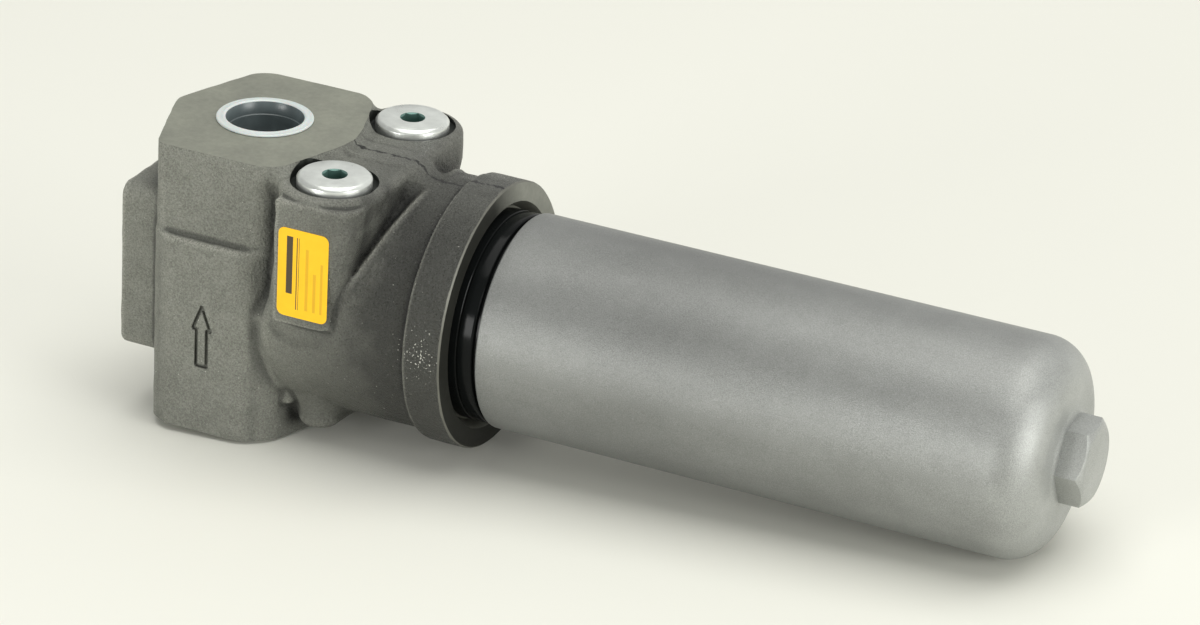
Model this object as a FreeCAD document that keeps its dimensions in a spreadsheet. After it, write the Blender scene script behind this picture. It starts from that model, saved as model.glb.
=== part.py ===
import FreeCAD, Part
import math
import os
import Sketcher

# Inline hydraulic filter for high pressure: cast head with two ports, steel bowl, element and bypass valve.
# Frame: the origin is the centre of the mounting pad's face, +X runs along the bowl's axis away from the pad,
# +Z points out of the outlet port and -Z out of the inlet port. Millimetres.

doc = FreeCAD.newDocument("hydraulic_filter_housing")
sheet = doc.addObject("Spreadsheet::Sheet", "sizes")
Vector = FreeCAD.Vector

# Sizes: alias, a number or a formula on other sizes, what it is.
SIZES = [
    ("port_axis", 41.0, "ports' common axis, from the pad's face"),
    ("port_face", 55.0, "port faces, from the bowl's axis"),
    ("block_back", 36.0, "port block's rear ridge, from the port axis"),
    ("block_front", 36.5, "port block's front ridge, from the port axis"),
    ("block_taper", 0.36, "lean of the block's end faces, X for each Y"),
    ("upper_half_width", 39.8, "half width of the block's upper part"),
    ("lower_half_width", 42.8, "half width of the block's lower part"),
    ("ledge_level", 21.0, "height of the ledge between the two parts"),
    ("block_corner", 7.0, "round on the block's four side corners"),
    ("block_ridge", 14.0, "round on the block's two end ridges"),
    ("port_edge", 0.6, "machined edge break of the port faces"),
    ("port_thread", 15.145, "radius of the port bores, thread crest of a one inch pipe thread"),
    ("port_depth", 22.0, "threaded length of a port"),
    ("port_mouth", 16.6, "countersink radius at a port's mouth"),
    ("outlet_cavity", 14.0, "radius of the cavity under the outlet port"),
    ("outlet_floor", 10.0, "floor of the outlet cavity, below the bowl's axis"),
    ("gallery", 10.0, "radius of the outlet gallery and of the spigot's bore"),
    ("inlet_cavity", 14.0, "radius of the cavity above the inlet port"),
    ("inlet_roof", 18.5, "roof of the inlet cavity, below the bowl's axis"),
    ("inlet_passage", 8.5, "radius of the passage from the inlet to the chamber"),
    ("pad_half_width", 33.0, "mounting pad, half width"),
    ("pad_half_height", 32.0, "mounting pad, half height"),
    ("pad_drop", 1.2, "mounting pad, extra reach of its lower edge"),
    ("pad_edge", 5.0, "round on the pad's long edges"),
    ("pad_face_edge", 1.5, "round on the pad's face edge"),
    ("bolt_spread", 48.0, "mounting holes, across"),
    ("bolt_rise", 44.0, "mounting holes, up and down"),
    ("bolt_hole", 4.188, "mounting holes, thread crest radius of M10"),
    ("bolt_depth", 15.0, "mounting holes, depth"),
    ("deck_inset", 0.4, "plug deck's side wall, inside the collar's outline"),
    ("deck_half_width", "=collar_radius - deck_inset", "plug deck, half width"),
    ("deck_level", 52.0, "plug deck, height"),
    ("deck_foot", 1.0, "level where the deck's side walls start to lean in"),
    ("deck_edge", 2.4, "round on the deck's top edge"),
    ("boss_radius", 19.0, "corner of the deck round a plug"),
    ("plug_place", 86.0, "plugs, from the pad's face"),
    ("plug_spread", "=deck_half_width - boss_radius", "plugs, either side of the bowl's axis"),
    ("deck_end", "=plug_place + boss_radius", "end of the plug deck, from the pad's face"),
    ("seat_drop", 2.3, "machined seat of a plug, below the deck"),
    ("seat_level", "=deck_level - seat_drop", "machined seat of a plug"),
    ("seat_radius", 16.8, "spot face radius of a plug's seat"),
    ("plug_bore", 9.188, "plug bore, thread crest radius of M20"),
    ("plug_bore_depth", 15.0, "plug bore, depth below the seat"),
    ("gauge_drill", 2.25, "radius of the drillings under the plugs"),
    ("label_pad_rise", 0.7, "label pad, above the deck's side wall"),
    ("label_pad_start", 72.6, "label pad, from the pad's face"),
    ("label_pad_end", 103.4, "label pad, far end"),
    ("label_pad_low", 1.5, "label pad, lower edge"),
    ("label_pad_high", 49.3, "label pad, upper edge"),
    ("label_pad_round", 8.6, "label pad, round on its far upright edge"),
    ("neck_inset", 4.9, "neck behind the plug deck, inside the collar's outline"),
    ("neck_radius", "=collar_radius - neck_inset", "neck behind the plug deck"),
    ("sleeve_inset", 2.7, "thicker neck next to the collar, inside the collar's outline"),
    ("sleeve_radius", "=collar_radius - sleeve_inset", "thicker neck next to the collar"),
    ("sleeve_top", 111.0, "sleeve's slanted end where it crosses the top"),
    ("sleeve_slant", 0.466, "lean of the sleeve's end, X for each Z"),
    ("collar_face", 139.5, "collar's open face, from the pad's face"),
    ("collar_width", 14.9, "collar, along the axis"),
    ("collar_wall", 9.9, "collar, outside the bowl's outline"),
    ("collar_radius", "=bowl_radius + collar_wall", "collar, outside"),
    ("collar_edge", 1.2, "round on the collar's edges"),
    ("mouth_gap", 2.0, "countersink at the collar's face, outside the bowl's outline"),
    ("collar_mouth", "=bowl_radius + mouth_gap", "countersink radius at the collar's face"),
    ("foot_place", 78.5, "cross foot under the neck, from the pad's face"),
    ("foot_half_length", 21.5, "cross foot, centre to the middle of its round end"),
    ("foot_radius", 7.5, "cross foot, half width"),
    ("foot_level", 48.5, "cross foot, below the bowl's axis"),
    ("foot_edge", 2.6, "round on the foot's lower edge"),
    ("nub_place", 69.0, "casting nubs beside the foot, from the pad's face"),
    ("nub_spread", 29.0, "casting nubs, either side of the axis"),
    ("nub_radius", 3.6, "casting nubs"),
    ("nub_level", 38.5, "casting nubs, below the bowl's axis"),
    ("chamber_step", 1.5, "inlet chamber, outside the bowl's bore"),
    ("chamber_radius", "=bowl_bore + chamber_step", "annular inlet chamber round the spigot"),
    ("chamber_floor", 78.0, "chamber's end wall, from the pad's face"),
    ("bowl_stop", 94.0, "shoulder that the bowl's rim meets"),
    ("nose_gap", 0.12, "gap between the bowl's nose and its bore"),
    ("seal_bore", "=bowl_nose + nose_gap", "bore that the bowl's nose enters"),
    ("groove_start", 100.0, "seal groove, from the pad's face"),
    ("groove_width", 6.4, "seal groove, along the axis"),
    ("groove_depth", 4.0, "seal groove, outside the bowl's nose"),
    ("groove_radius", "=bowl_nose + groove_depth", "seal groove's floor"),
    ("head_thread_start", 112.6, "inner end of the head's thread"),
    ("head_thread", "=bowl_thread + sliding_gap", "head's thread, crest radius"),
    ("recess_depth", 4.4, "collar recess that takes the ring"),
    ("bowl_radius", 40.0, "bowl, outside"),
    ("bowl_wall", 8.5, "bowl, wall of its plain length"),
    ("bowl_bore", "=bowl_radius - bowl_wall", "bowl, inside"),
    ("nose_step", 5.0, "bowl's sealing nose, inside its outline"),
    ("bowl_nose", "=bowl_radius - nose_step", "bowl's sealing nose"),
    ("thread_step", 3.0, "bowl's thread, inside its outline"),
    ("bowl_thread", "=bowl_radius - thread_step", "bowl's thread, pitch radius"),
    ("neck_step", 0.8, "bowl's neck, inside its thread"),
    ("bowl_neck", "=bowl_thread - neck_step", "bowl's neck under the ring"),
    ("nose_lead", 1.0, "lead-in on the bowl's nose, across"),
    ("thread_lead", 1.5, "bevel at the start of the bowl's thread, along the axis"),
    ("bowl_length", 218.5, "bowl's closed end, from the collar's face"),
    ("bowl_corner", 15.7, "round at the bowl's closed end"),
    ("bowl_floor", 9.0, "thickness of the bowl's closed end"),
    ("bowl_inner_corner", 9.0, "round inside the closed end"),
    ("bowl_shoulder", 9.3, "bowl's shoulder, from the collar's face"),
    ("thread_length", 19.8, "threaded length on the bowl"),
    ("hexagon_flats", 28.0, "hexagon, across flats"),
    ("hexagon_length", 10.7, "hexagon, from the closed end"),
    ("hexagon_crown", 14.6, "radius of the hexagon's turned crown"),
    ("hexagon_land", 16.6, "turned land at the hexagon's foot, radius"),
    ("hexagon_land_rise", 0.9, "turned land, height"),
    ("hexagon_bevel", 1.2, "bevel of the turned crown's face, across"),
    ("hexagon_slope", 0.7, "turned crown's bevel, added along the axis"),
    ("ring_inset", 0.9, "black ring, inside the bowl's outline"),
    ("ring_radius", "=bowl_radius - ring_inset", "black ring, outside"),
    ("ring_lip_drop", 1.2, "black ring, step down to its narrow lip"),
    ("ring_step", "=ring_radius - ring_lip_drop", "black ring, outside of its narrow lip"),
    ("ring_lip", 1.3, "black ring, length of the narrow lip"),
    ("running_gap", 0.3, "gap between pieces that move apart"),
    ("sliding_gap", 0.1, "gap between pieces that slide or turn in each other"),
    ("fit_gap", 0.05, "gap between pieces that sit tight"),
    ("overlap", 1.0, "how far a cut or a join runs past its neighbour"),
    ("spigot_radius", 13.0, "spigot, outside"),
    ("spigot_socket", 66.0, "bottom of the spigot's socket, from the pad's face"),
    ("spigot_end", 99.0, "spigot's free end, from the pad's face"),
    ("spigot_lead", 1.2, "lead-in on the spigot's end, across"),
    ("element_start", 88.0, "element, from the pad's face"),
    ("element_reserve", 16.0, "free length in the bowl beyond the element"),
    ("element_gap", 3.5, "gap between the element and the bowl"),
    ("element_radius", "=bowl_bore - element_gap", "element, outside of its end caps"),
    ("cap_plate", 2.4, "end caps, thickness"),
    ("cap_rim", 1.1, "end caps, wall of the rim"),
    ("cap_rim_length", 8.0, "end caps, rim, along the axis"),
    ("hub_wall", 3.6, "seal hub, wall"),
    ("hub_length", 13.0, "seal hub, along the axis"),
    ("hub_nose", 2.0, "seal hub, in front of the end cap"),
    ("hub_lead", 0.8, "lead-in at the seal hub's mouth"),
    ("seal_step", 2.0, "element seal groove, behind the end cap"),
    ("core_radius", 18.0, "support tube, outside"),
    ("core_wall", 1.1, "support tube, wall"),
    ("core_hole", 3.2, "support tube, hole radius"),
    ("core_hole_rows", 9, "support tube, rows of holes"),
    ("core_hole_count", 6, "support tube, holes in a row"),
    ("media_inner", 18.6, "pleats, inner radius"),
    ("media_inset", 1.6, "pleats, inside the end caps' outline"),
    ("media_outer", "=element_radius - media_inset", "pleats, outer radius"),
    ("media_depth", 3.1, "pleats, depth of the stack at a tip"),
    ("pleat_count", 40, "pleats round the element"),
    ("element_seal", 2.3, "element seal ring, section"),
    ("bowl_seal", 3.9, "bowl seal ring, section"),
    ("backup_width", 1.8, "backup ring, along the axis"),
    ("seat_bore", 6.5, "bypass seat, bore"),
    ("seat_bevel", 1.5, "bypass seat, bevel that the poppet closes on"),
    ("seat_collar", 1.8, "bypass seat, collar inside the cage"),
    ("seat_shank", 9.0, "bypass seat, shank in the wall"),
    ("seat_flange", 12.5, "bypass seat, flange"),
    ("seat_flange_height", 2.5, "bypass seat, flange height"),
    ("cage_radius", 12.0, "bypass cage, outside"),
    ("cage_bore", 10.0, "bypass cage, inside"),
    ("cage_height", 20.5, "bypass cage, height"),
    ("cage_plate", 2.5, "bypass cage, thickness of its top"),
    ("cage_window", 9.0, "bypass cage, width of a window"),
    ("cage_sill", 3.0, "bypass cage, below a window"),
    ("cage_lintel", 2.0, "bypass cage, between a window and its top"),
    ("cage_bevel", 1.0, "bypass cage, bevel of its top"),
    ("stem_radius", 2.5, "poppet stem"),
    ("stem_reach", 4.0, "poppet stem, above the cage"),
    ("stem_bevel", 0.5, "poppet stem, bevel of its end"),
    ("poppet_radius", 8.2, "poppet, head radius"),
    ("poppet_rim", 2.0, "poppet, height of its rim"),
    ("poppet_nose", 6.0, "poppet, radius of its flat nose"),
    ("poppet_drop", 1.8, "poppet, nose below the seat's top"),
    ("spring_radius", 5.6, "bypass spring, mean radius"),
    ("spring_wire", 0.75, "bypass spring, wire radius"),
    ("spring_turns", 5.0, "bypass spring, turns"),
    ("plug_head", 13.65, "plug, head radius"),
    ("plug_head_height", 5.0, "plug, head height"),
    ("plug_bevel", 1.3, "plug, bevel of the head"),
    ("plug_length", 12.0, "plug, shank below the seat"),
    ("plug_shank", 9.1, "plug, shank radius"),
    ("plug_socket", 8.0, "plug, hexagon socket across flats"),
    ("plug_socket_depth", 7.0, "plug, hexagon socket depth"),
    ("plug_countersink", 6.0, "plug, countersink radius of the socket"),
    ("plug_sink_depth", 1.2, "plug, countersink depth of the socket"),
    ("plug_point", 1.2, "plug, bevel of the shank's end"),
    ("plug_seal_radius", 12.2, "plug, room for the seal ring under the head"),
    ("plug_seal_height", 1.5, "plug, seal ring height"),
    ("port_cap_flange", 17.86, "port cap, flange radius"),
    ("port_cap_rise", 0.9, "port cap, flange thickness"),
    ("port_cap_rim", 16.1, "port cap, rounded bead inside the flange"),
    ("port_cap_depth", 14.0, "port cap, cup depth below the port face"),
    ("port_cap_wall", 0.9, "port cap, wall"),
    ("port_cap_draft", 0.7, "port cap, narrowing towards its bottom"),
    ("port_cap_edge", 0.8, "port cap, bevel round its bottom"),
    ("port_cap_bead", 0.3, "port cap, bead above the flange"),
    ("port_cap_shank", 1.6, "port cap, straight part under the flange"),
    ("label_width", 20.2, "label, along X"),
    ("label_height", 34.4, "label, along Z"),
    ("label_place", 84.6, "label's centre, from the pad's face"),
    ("label_level", 22.2, "label's centre, above the bowl's axis"),
    ("label_corner", 2.6, "label, corner round"),
    ("label_foil", 0.2, "label, thickness"),
]


class Size:
    """A length that knows its number and the sheet expression that gives it."""

    def __init__(self, value, text):
        self.value = value
        self.text = text

    def _mix(self, other, sign, flip=False):
        if not isinstance(other, Size):
            other = Size(other, repr(other))
        first, second = (other, self) if flip else (self, other)
        number = {"+": lambda a, b: a + b, "-": lambda a, b: a - b,
                  "*": lambda a, b: a * b, "/": lambda a, b: a / b}[sign](first.value, second.value)
        return Size(number, "(" + first.text + " " + sign + " " + second.text + ")")

    def __add__(self, other):
        return self._mix(other, "+")

    def __radd__(self, other):
        return self._mix(other, "+", True)

    def __sub__(self, other):
        return self._mix(other, "-")

    def __rsub__(self, other):
        return self._mix(other, "-", True)

    def __mul__(self, other):
        return self._mix(other, "*")

    def __rmul__(self, other):
        return self._mix(other, "*", True)

    def __truediv__(self, other):
        return self._mix(other, "/")

    def __neg__(self):
        return self._mix(0, "-", True)


class Sizes:
    """The sizes, each an attribute under its alias."""


def fill_sheet():
    """Write the sizes into the sheet, let it work out the formulas, and return them as attributes."""
    sizes = Sizes()
    for row, (alias, value, words) in enumerate(SIZES, start=1):
        sheet.set("A%d" % row, words)
        sheet.set("B%d" % row, str(value))
        sheet.setAlias("B%d" % row, alias)
    doc.recompute()
    for alias, _, _ in SIZES:
        setattr(sizes, alias, Size(float(sheet.get(alias)), "<<sizes>>." + alias))
    return sizes


D = fill_sheet()
ZERO = Size(0.0, "0")
TOUCH = 1e-4
ALONG = {
    "X": FreeCAD.Rotation(Vector(0, 1, 0), 90),
    "Y": FreeCAD.Rotation(Vector(1, 0, 0), -90),
    "Z": FreeCAD.Rotation(),
}


def bind(item, name, size):
    """Bind one property to a size, or set it where the value is a plain number."""
    if isinstance(size, Size):
        item.setExpression(name, size.text)
    else:
        item.setExpression(name, repr(size))


def place(item, at, turn=None):
    """Turn a solid and bind its place."""
    item.Placement = FreeCAD.Placement(Vector(0, 0, 0), turn or FreeCAD.Rotation())
    for name, size in zip("xyz", at):
        bind(item, "Placement.Base." + name, size)


def cylinder(name, radius, length, at, along="Z", turn=None):
    item = doc.addObject("Part::Cylinder", name)
    bind(item, "Radius", radius)
    bind(item, "Height", length)
    place(item, at, turn or ALONG[along])
    return item


def cone(name, low_radius, high_radius, length, at, along="Z"):
    item = doc.addObject("Part::Cone", name)
    bind(item, "Radius1", low_radius)
    bind(item, "Radius2", high_radius)
    bind(item, "Height", length)
    place(item, at, ALONG[along])
    return item


def block(name, low, high):
    """A box from its low corner to its high corner."""
    item = doc.addObject("Part::Box", name)
    for prop, start, end in zip(("Length", "Width", "Height"), low, high):
        bind(item, prop, end - start)
    place(item, low)
    return item


def torus(name, radius, section, at, along="Z"):
    item = doc.addObject("Part::Torus", name)
    bind(item, "Radius1", radius)
    bind(item, "Radius2", section)
    place(item, at, ALONG[along])
    return item


def join(name, parts):
    item = doc.addObject("Part::MultiFuse", name)
    item.Shapes = parts
    item.Refine = True
    return item


def cut(name, base, tools):
    item = doc.addObject("Part::Cut", name)
    item.Base = base
    item.Tool = tools[0] if len(tools) == 1 else join(name + "_tools", tools)
    item.Refine = True
    return item


def common(name, parts):
    item = doc.addObject("Part::MultiCommon", name)
    item.Shapes = parts
    item.Refine = True
    return item


def plane_of(body, role):
    return [item for item in body.Origin.OriginFeatures if item.Role == role][0]


def closed_sketch(body, name, role, points, offset=None):
    """A closed outline of straight lines whose corners are bound to the sheet."""
    sketch = body.newObject("Sketcher::SketchObject", name)
    sketch.AttachmentSupport = [(plane_of(body, role), "")]
    sketch.MapMode = "FlatFace"
    if offset is not None:
        bind(sketch, "AttachmentOffset.Base.z", offset)
    corners = [Vector(x.value, y.value, 0) for x, y in points]
    for start, end in zip(corners, corners[1:] + corners[:1]):
        sketch.addGeometry(Part.LineSegment(start, end))
    for index in range(len(points)):
        sketch.addConstraint(Sketcher.Constraint("Coincident", index, 2, (index + 1) % len(points), 1))
    for index, (x, y) in enumerate(points):
        for kind, size in (("DistanceX", x), ("DistanceY", y)):
            number = sketch.addConstraint(Sketcher.Constraint(kind, index, 1, size.value))
            sketch.setExpression("Constraints[%d]" % number, size.text)
    return sketch


def turned(label, points, at=None, axis="H_Axis"):
    """A body turned round the X axis (H_Axis) or round its own upright axis (V_Axis)."""
    body = doc.addObject("PartDesign::Body", label)
    sketch = closed_sketch(body, label + "_section", "XZ_Plane", points)
    turn = body.newObject("PartDesign::Revolution", label + "_turned")
    turn.Profile = sketch
    turn.ReferenceAxis = (sketch, [axis])
    turn.Angle = 360
    body.Tip = turn
    if at is not None:
        place(body, at)
    doc.recompute()
    return body


def padded(label, points, length, role="XY_Plane", start=None):
    """A body with one straight-sided outline drawn out to a length."""
    body = doc.addObject("PartDesign::Body", label)
    sketch = closed_sketch(body, label + "_outline", role, points, start)
    pad = body.newObject("PartDesign::Pad", label + "_pad")
    pad.Profile = sketch
    bind(pad, "Length", length)
    body.Tip = pad
    doc.recompute()
    return body


def edges_where(body, test):
    """Names of the edges of a body's tip that pass a test."""
    return ["Edge%d" % number for number, edge in enumerate(body.Tip.Shape.Edges, start=1) if test(edge)]


def soften(body, name, kind, size, test):
    """Add a fillet or a chamfer to the edges that pass a test."""
    base = body.Tip
    edges = edges_where(body, test)
    feature = body.newObject("PartDesign::" + kind, name)
    feature.Base = (base, edges)
    bind(feature, "Radius" if kind == "Fillet" else "Size", size)
    body.Tip = feature
    doc.recompute()


def is_line_along(direction):
    """A test for straight edges along a direction."""
    def test(edge):
        if not isinstance(edge.Curve, Part.Line):
            return False
        return abs(abs(edge.Curve.Direction.dot(Vector(*direction))) - 1) < TOUCH
    return test


def is_ring(place_along, radius, axis="x"):
    """A test for full circles at a place along an axis and with a radius."""
    def test(edge):
        if not isinstance(edge.Curve, Part.Circle):
            return False
        centre = getattr(edge.Curve.Center, axis)
        return abs(centre - place_along.value) < TOUCH and abs(edge.Curve.Radius - radius.value) < TOUCH
    return test


# Head casting: outside

def block_outline(half_width):
    """The port block's long hexagon, with its two ridges fore and aft."""
    back = D.port_axis - D.block_back
    front = D.port_axis + D.block_front
    lean = D.block_taper * half_width
    return [(back, ZERO), (back + lean, -half_width), (front - lean, -half_width),
            (front, ZERO), (front - lean, half_width), (back + lean, half_width)]


def port_block(label, half_width, low, high):
    """One part of the port block, with its upright corners rounded."""
    body = padded(label, block_outline(half_width), high - low, start=low)
    upright = is_line_along((0, 0, 1))

    def is_corner(edge):
        return upright(edge) and abs(edge.Vertexes[0].Y) > TOUCH

    def is_ridge(edge):
        return upright(edge) and abs(edge.Vertexes[0].Y) < TOUCH

    soften(body, label + "_corners", "Fillet", D.block_corner, is_corner)
    soften(body, label + "_ridges", "Fillet", D.block_ridge, is_ridge)
    return body


def level_edges(level):
    """A test for edges that lie at one level."""
    def test(edge):
        return abs(edge.BoundBox.ZMin - level.value) < TOUCH and abs(edge.BoundBox.ZMax - level.value) < TOUCH
    return test


upper_block = port_block("upper_block", D.upper_half_width, ZERO, D.port_face)
soften(upper_block, "upper_block_edge", "Chamfer", D.port_edge, level_edges(D.port_face))
lower_block = port_block("lower_block", D.lower_half_width, -D.port_face, D.ledge_level)
soften(lower_block, "lower_block_edge", "Chamfer", D.port_edge, level_edges(-D.port_face))
soften(lower_block, "lower_block_ledge", "Fillet", D.collar_edge, level_edges(D.ledge_level))

mounting_pad = padded("mounting_pad", [
    (-D.pad_half_width, -D.pad_half_height - D.pad_drop), (D.pad_half_width, -D.pad_half_height - D.pad_drop),
    (D.pad_half_width, D.pad_half_height), (-D.pad_half_width, D.pad_half_height)],
    D.port_axis, role="YZ_Plane")
soften(mounting_pad, "mounting_pad_corners", "Fillet", D.pad_edge, is_line_along((1, 0, 0)))


def on_pad_face(edge):
    return edge.BoundBox.XMax < TOUCH


soften(mounting_pad, "mounting_pad_face_edge", "Fillet", D.pad_face_edge, on_pad_face)


# The plug deck: its upright corners are round about the plugs, and its section has leaning feet.
deck_start = D.port_axis + D.block_front - D.block_taper * D.lower_half_width
deck_near = D.plug_place - D.boss_radius - D.overlap
deck_plan = padded("deck_plan", [
    (deck_near, -D.deck_half_width), (D.deck_end, -D.deck_half_width),
    (D.deck_end, D.deck_half_width), (deck_near, D.deck_half_width)],
    D.deck_level * 2, start=-D.deck_level)
soften(deck_plan, "deck_corners", "Fillet", D.boss_radius, is_line_along((0, 0, 1)))
soften(deck_plan, "deck_top_edge", "Fillet", D.deck_edge, level_edges(D.deck_level))
foot_lean = D.deck_half_width - D.neck_radius
deck_section = padded("deck_section", [
    (-D.deck_half_width, D.deck_level), (-D.deck_half_width, D.deck_foot),
    (-D.neck_radius + foot_lean, D.deck_foot - D.boss_radius),
    (D.neck_radius - foot_lean, D.deck_foot - D.boss_radius),
    (D.deck_half_width, D.deck_foot), (D.deck_half_width, D.deck_level)],
    D.deck_end - deck_start, role="YZ_Plane", start=deck_start)
deck = common("plug_deck", [deck_plan, deck_section])

# Neck and collar: the neck core, a sleeve with a slanted end, and the collar.
neck_length = D.collar_face - deck_start - D.collar_width / 2
neck_core = cylinder("neck_core", D.neck_radius, neck_length, (deck_start, ZERO, ZERO), "X")
sleeve_bar = cylinder("sleeve_bar", D.sleeve_radius, neck_length, (deck_start, ZERO, ZERO), "X")
slant_top = D.sleeve_top + (D.collar_radius - D.sleeve_radius) * D.sleeve_slant
slant = padded("sleeve_slant_cut", [
    (D.port_axis - D.collar_radius, D.collar_radius), (slant_top, D.collar_radius),
    (slant_top - D.collar_radius * 2 * D.sleeve_slant, -D.collar_radius),
    (D.port_axis - D.collar_radius, -D.collar_radius)],
    D.collar_radius * 2, role="XZ_Plane", start=-D.collar_radius)
sleeve = cut("neck_sleeve", sleeve_bar, [slant])
collar_back = D.collar_face - D.collar_width
collar = turned("collar", [
    (collar_back, ZERO), (D.collar_face, ZERO),
    (D.collar_face, D.collar_radius), (collar_back, D.collar_radius)])
soften(collar, "collar_front_edge", "Fillet", D.collar_edge, is_ring(D.collar_face, D.collar_radius))
soften(collar, "collar_back_edge", "Fillet", D.collar_edge, is_ring(collar_back, D.collar_radius))

# Cross foot and nubs under the neck.
foot_bar = block("foot_bar", (D.foot_place - D.foot_radius, -D.foot_half_length, -D.foot_level),
                 (D.foot_place + D.foot_radius, D.foot_half_length, -D.chamber_radius))
foot_parts = [foot_bar]
nubs = []
for side, sign in (("near", -1), ("far", 1)):
    foot_parts.append(cylinder("foot_end_" + side, D.foot_radius, D.foot_level - D.chamber_radius,
                               (D.foot_place, sign * D.foot_half_length, -D.foot_level)))
    nubs.append(cylinder("nub_" + side, D.nub_radius, D.nub_level - D.inlet_roof,
                         (D.nub_place, sign * D.nub_spread, -D.nub_level)))
foot = join("cross_foot", foot_parts)
doc.recompute()
foot_round = doc.addObject("Part::Fillet", "cross_foot_round")
foot_round.Base = foot
is_foot_edge = level_edges(-D.foot_level)
foot_round.Edges = [(number, D.foot_edge.value, D.foot_edge.value)
                    for number, edge in enumerate(foot.Shape.Edges, start=1) if is_foot_edge(edge)]

label_back = D.deck_half_width + D.label_pad_rise
label_pad = padded("label_pad", [
    (D.label_pad_start, -label_back), (D.label_pad_end, -label_back),
    (D.label_pad_end, -D.plug_spread), (D.label_pad_start, -D.plug_spread)],
    D.label_pad_high - D.label_pad_low, start=D.label_pad_low)


def is_far_pad_edge(edge):
    at = edge.BoundBox
    upright = is_line_along((0, 0, 1))(edge)
    return upright and abs(at.XMax - D.label_pad_end.value) + abs(at.YMin + label_back.value) < TOUCH


soften(label_pad, "label_pad_round", "Fillet", D.label_pad_round, is_far_pad_edge)

head_outside = join("head_outside", [
    upper_block, lower_block, mounting_pad, deck, neck_core, sleeve, collar, foot_round, label_pad] + nubs)


# Head casting: machined and cored inside

def port_cut(name, sign, floor, cavity):
    """One port: countersink, thread and the cavity behind it, opening at sign times the port face."""
    face = D.port_face
    depth = D.port_mouth - D.port_thread
    if sign > 0:
        radii = (D.port_thread, D.port_mouth)
        levels = (face - depth, face - D.port_depth, -floor)
        reach = face - D.port_depth + floor + D.overlap
    else:
        radii = (D.port_mouth, D.port_thread)
        levels = (-face, -face, -face + D.overlap)
        reach = face - D.overlap - floor
    mouth = cone(name + "_mouth", radii[0], radii[1], depth, (D.port_axis, ZERO, levels[0]))
    thread = cylinder(name + "_thread", D.port_thread, D.port_depth, (D.port_axis, ZERO, levels[1]))
    room = cylinder(name + "_cavity", cavity, reach, (D.port_axis, ZERO, levels[2]))
    return [mouth, thread, room]


cuts = port_cut("outlet", 1, D.outlet_floor, D.outlet_cavity)
cuts += port_cut("inlet", -1, D.inlet_roof, D.inlet_cavity)
cuts.append(cylinder("outlet_gallery", D.gallery, D.chamber_floor - D.port_axis,
                     (D.port_axis, ZERO, ZERO), "X"))
passage_level = D.inlet_roof + D.inlet_passage
cuts.append(cylinder("inlet_passage_bore", D.inlet_passage, D.chamber_floor - D.port_axis + D.inlet_passage,
                     (D.port_axis, ZERO, -passage_level), "X"))
cuts.append(cylinder("bypass_hole", D.seat_shank, D.inlet_roof,
                     (D.port_axis, ZERO, -D.inlet_roof - D.overlap)))
cuts.append(cylinder("spigot_hole", D.spigot_radius, D.chamber_floor - D.spigot_socket + D.overlap,
                     (D.spigot_socket, ZERO, ZERO), "X"))
recess_start = D.collar_face - D.recess_depth
cuts.append(turned("bowl_bore_cut", [
    (D.chamber_floor, ZERO), (D.chamber_floor, D.chamber_radius), (D.bowl_stop, D.chamber_radius),
    (D.bowl_stop, D.seal_bore), (D.groove_start, D.seal_bore), (D.groove_start, D.groove_radius),
    (D.groove_start + D.groove_width, D.groove_radius), (D.groove_start + D.groove_width, D.seal_bore),
    (D.head_thread_start, D.seal_bore), (D.head_thread_start + D.head_thread - D.seal_bore, D.head_thread),
    (recess_start, D.head_thread), (recess_start, D.ring_radius + D.running_gap),
    (D.collar_face, D.collar_mouth), (D.collar_face + D.overlap, D.collar_mouth),
    (D.collar_face + D.overlap, ZERO)]))

for side, sign in (("front", -1), ("rear", 1)):
    spot = (D.plug_place, sign * D.plug_spread)
    bore_floor = D.seat_level - D.plug_bore_depth
    cuts.append(cylinder("spot_face_" + side, D.seat_radius, D.port_face, spot + (D.seat_level,)))
    cuts.append(cylinder("plug_bore_" + side, D.plug_bore, D.plug_bore_depth + D.overlap,
                         spot + (bore_floor,)))
    cuts.append(cone("plug_mouth_" + side, D.plug_bore, D.plug_bore + D.overlap, D.overlap,
                     spot + (D.seat_level - D.overlap,)))

# The front plug's drilling drops straight into the chamber, and the rear one's slants to the outlet gallery.
cuts.append(cylinder("front_drilling", D.gauge_drill, D.seat_level - D.plug_bore_depth,
                     (D.plug_place, -D.plug_spread, ZERO)))
slant_start = Vector(D.spigot_socket.value - D.gallery.value, 0, D.gallery.value / 2)
slant_end = Vector(D.plug_place.value, D.plug_spread.value, (bore_floor + D.overlap).value)
slant_way = slant_end - slant_start
cuts.append(cylinder("rear_drilling", D.gauge_drill, slant_way.Length,
                     (D.spigot_socket - D.gallery, ZERO, D.gallery / 2),
                     turn=FreeCAD.Rotation(Vector(0, 0, 1), slant_way)))

for row, up in (("low", -1), ("high", 1)):
    for side, across in (("near", -1), ("far", 1)):
        cuts.append(cylinder("mounting_hole_%s_%s" % (row, side), D.bolt_hole, D.bolt_depth,
                             (ZERO, across * D.bolt_spread / 2, up * D.bolt_rise / 2), "X"))

head = cut("head_casting", head_outside, cuts)


# Bowl, its ring and seals

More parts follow.
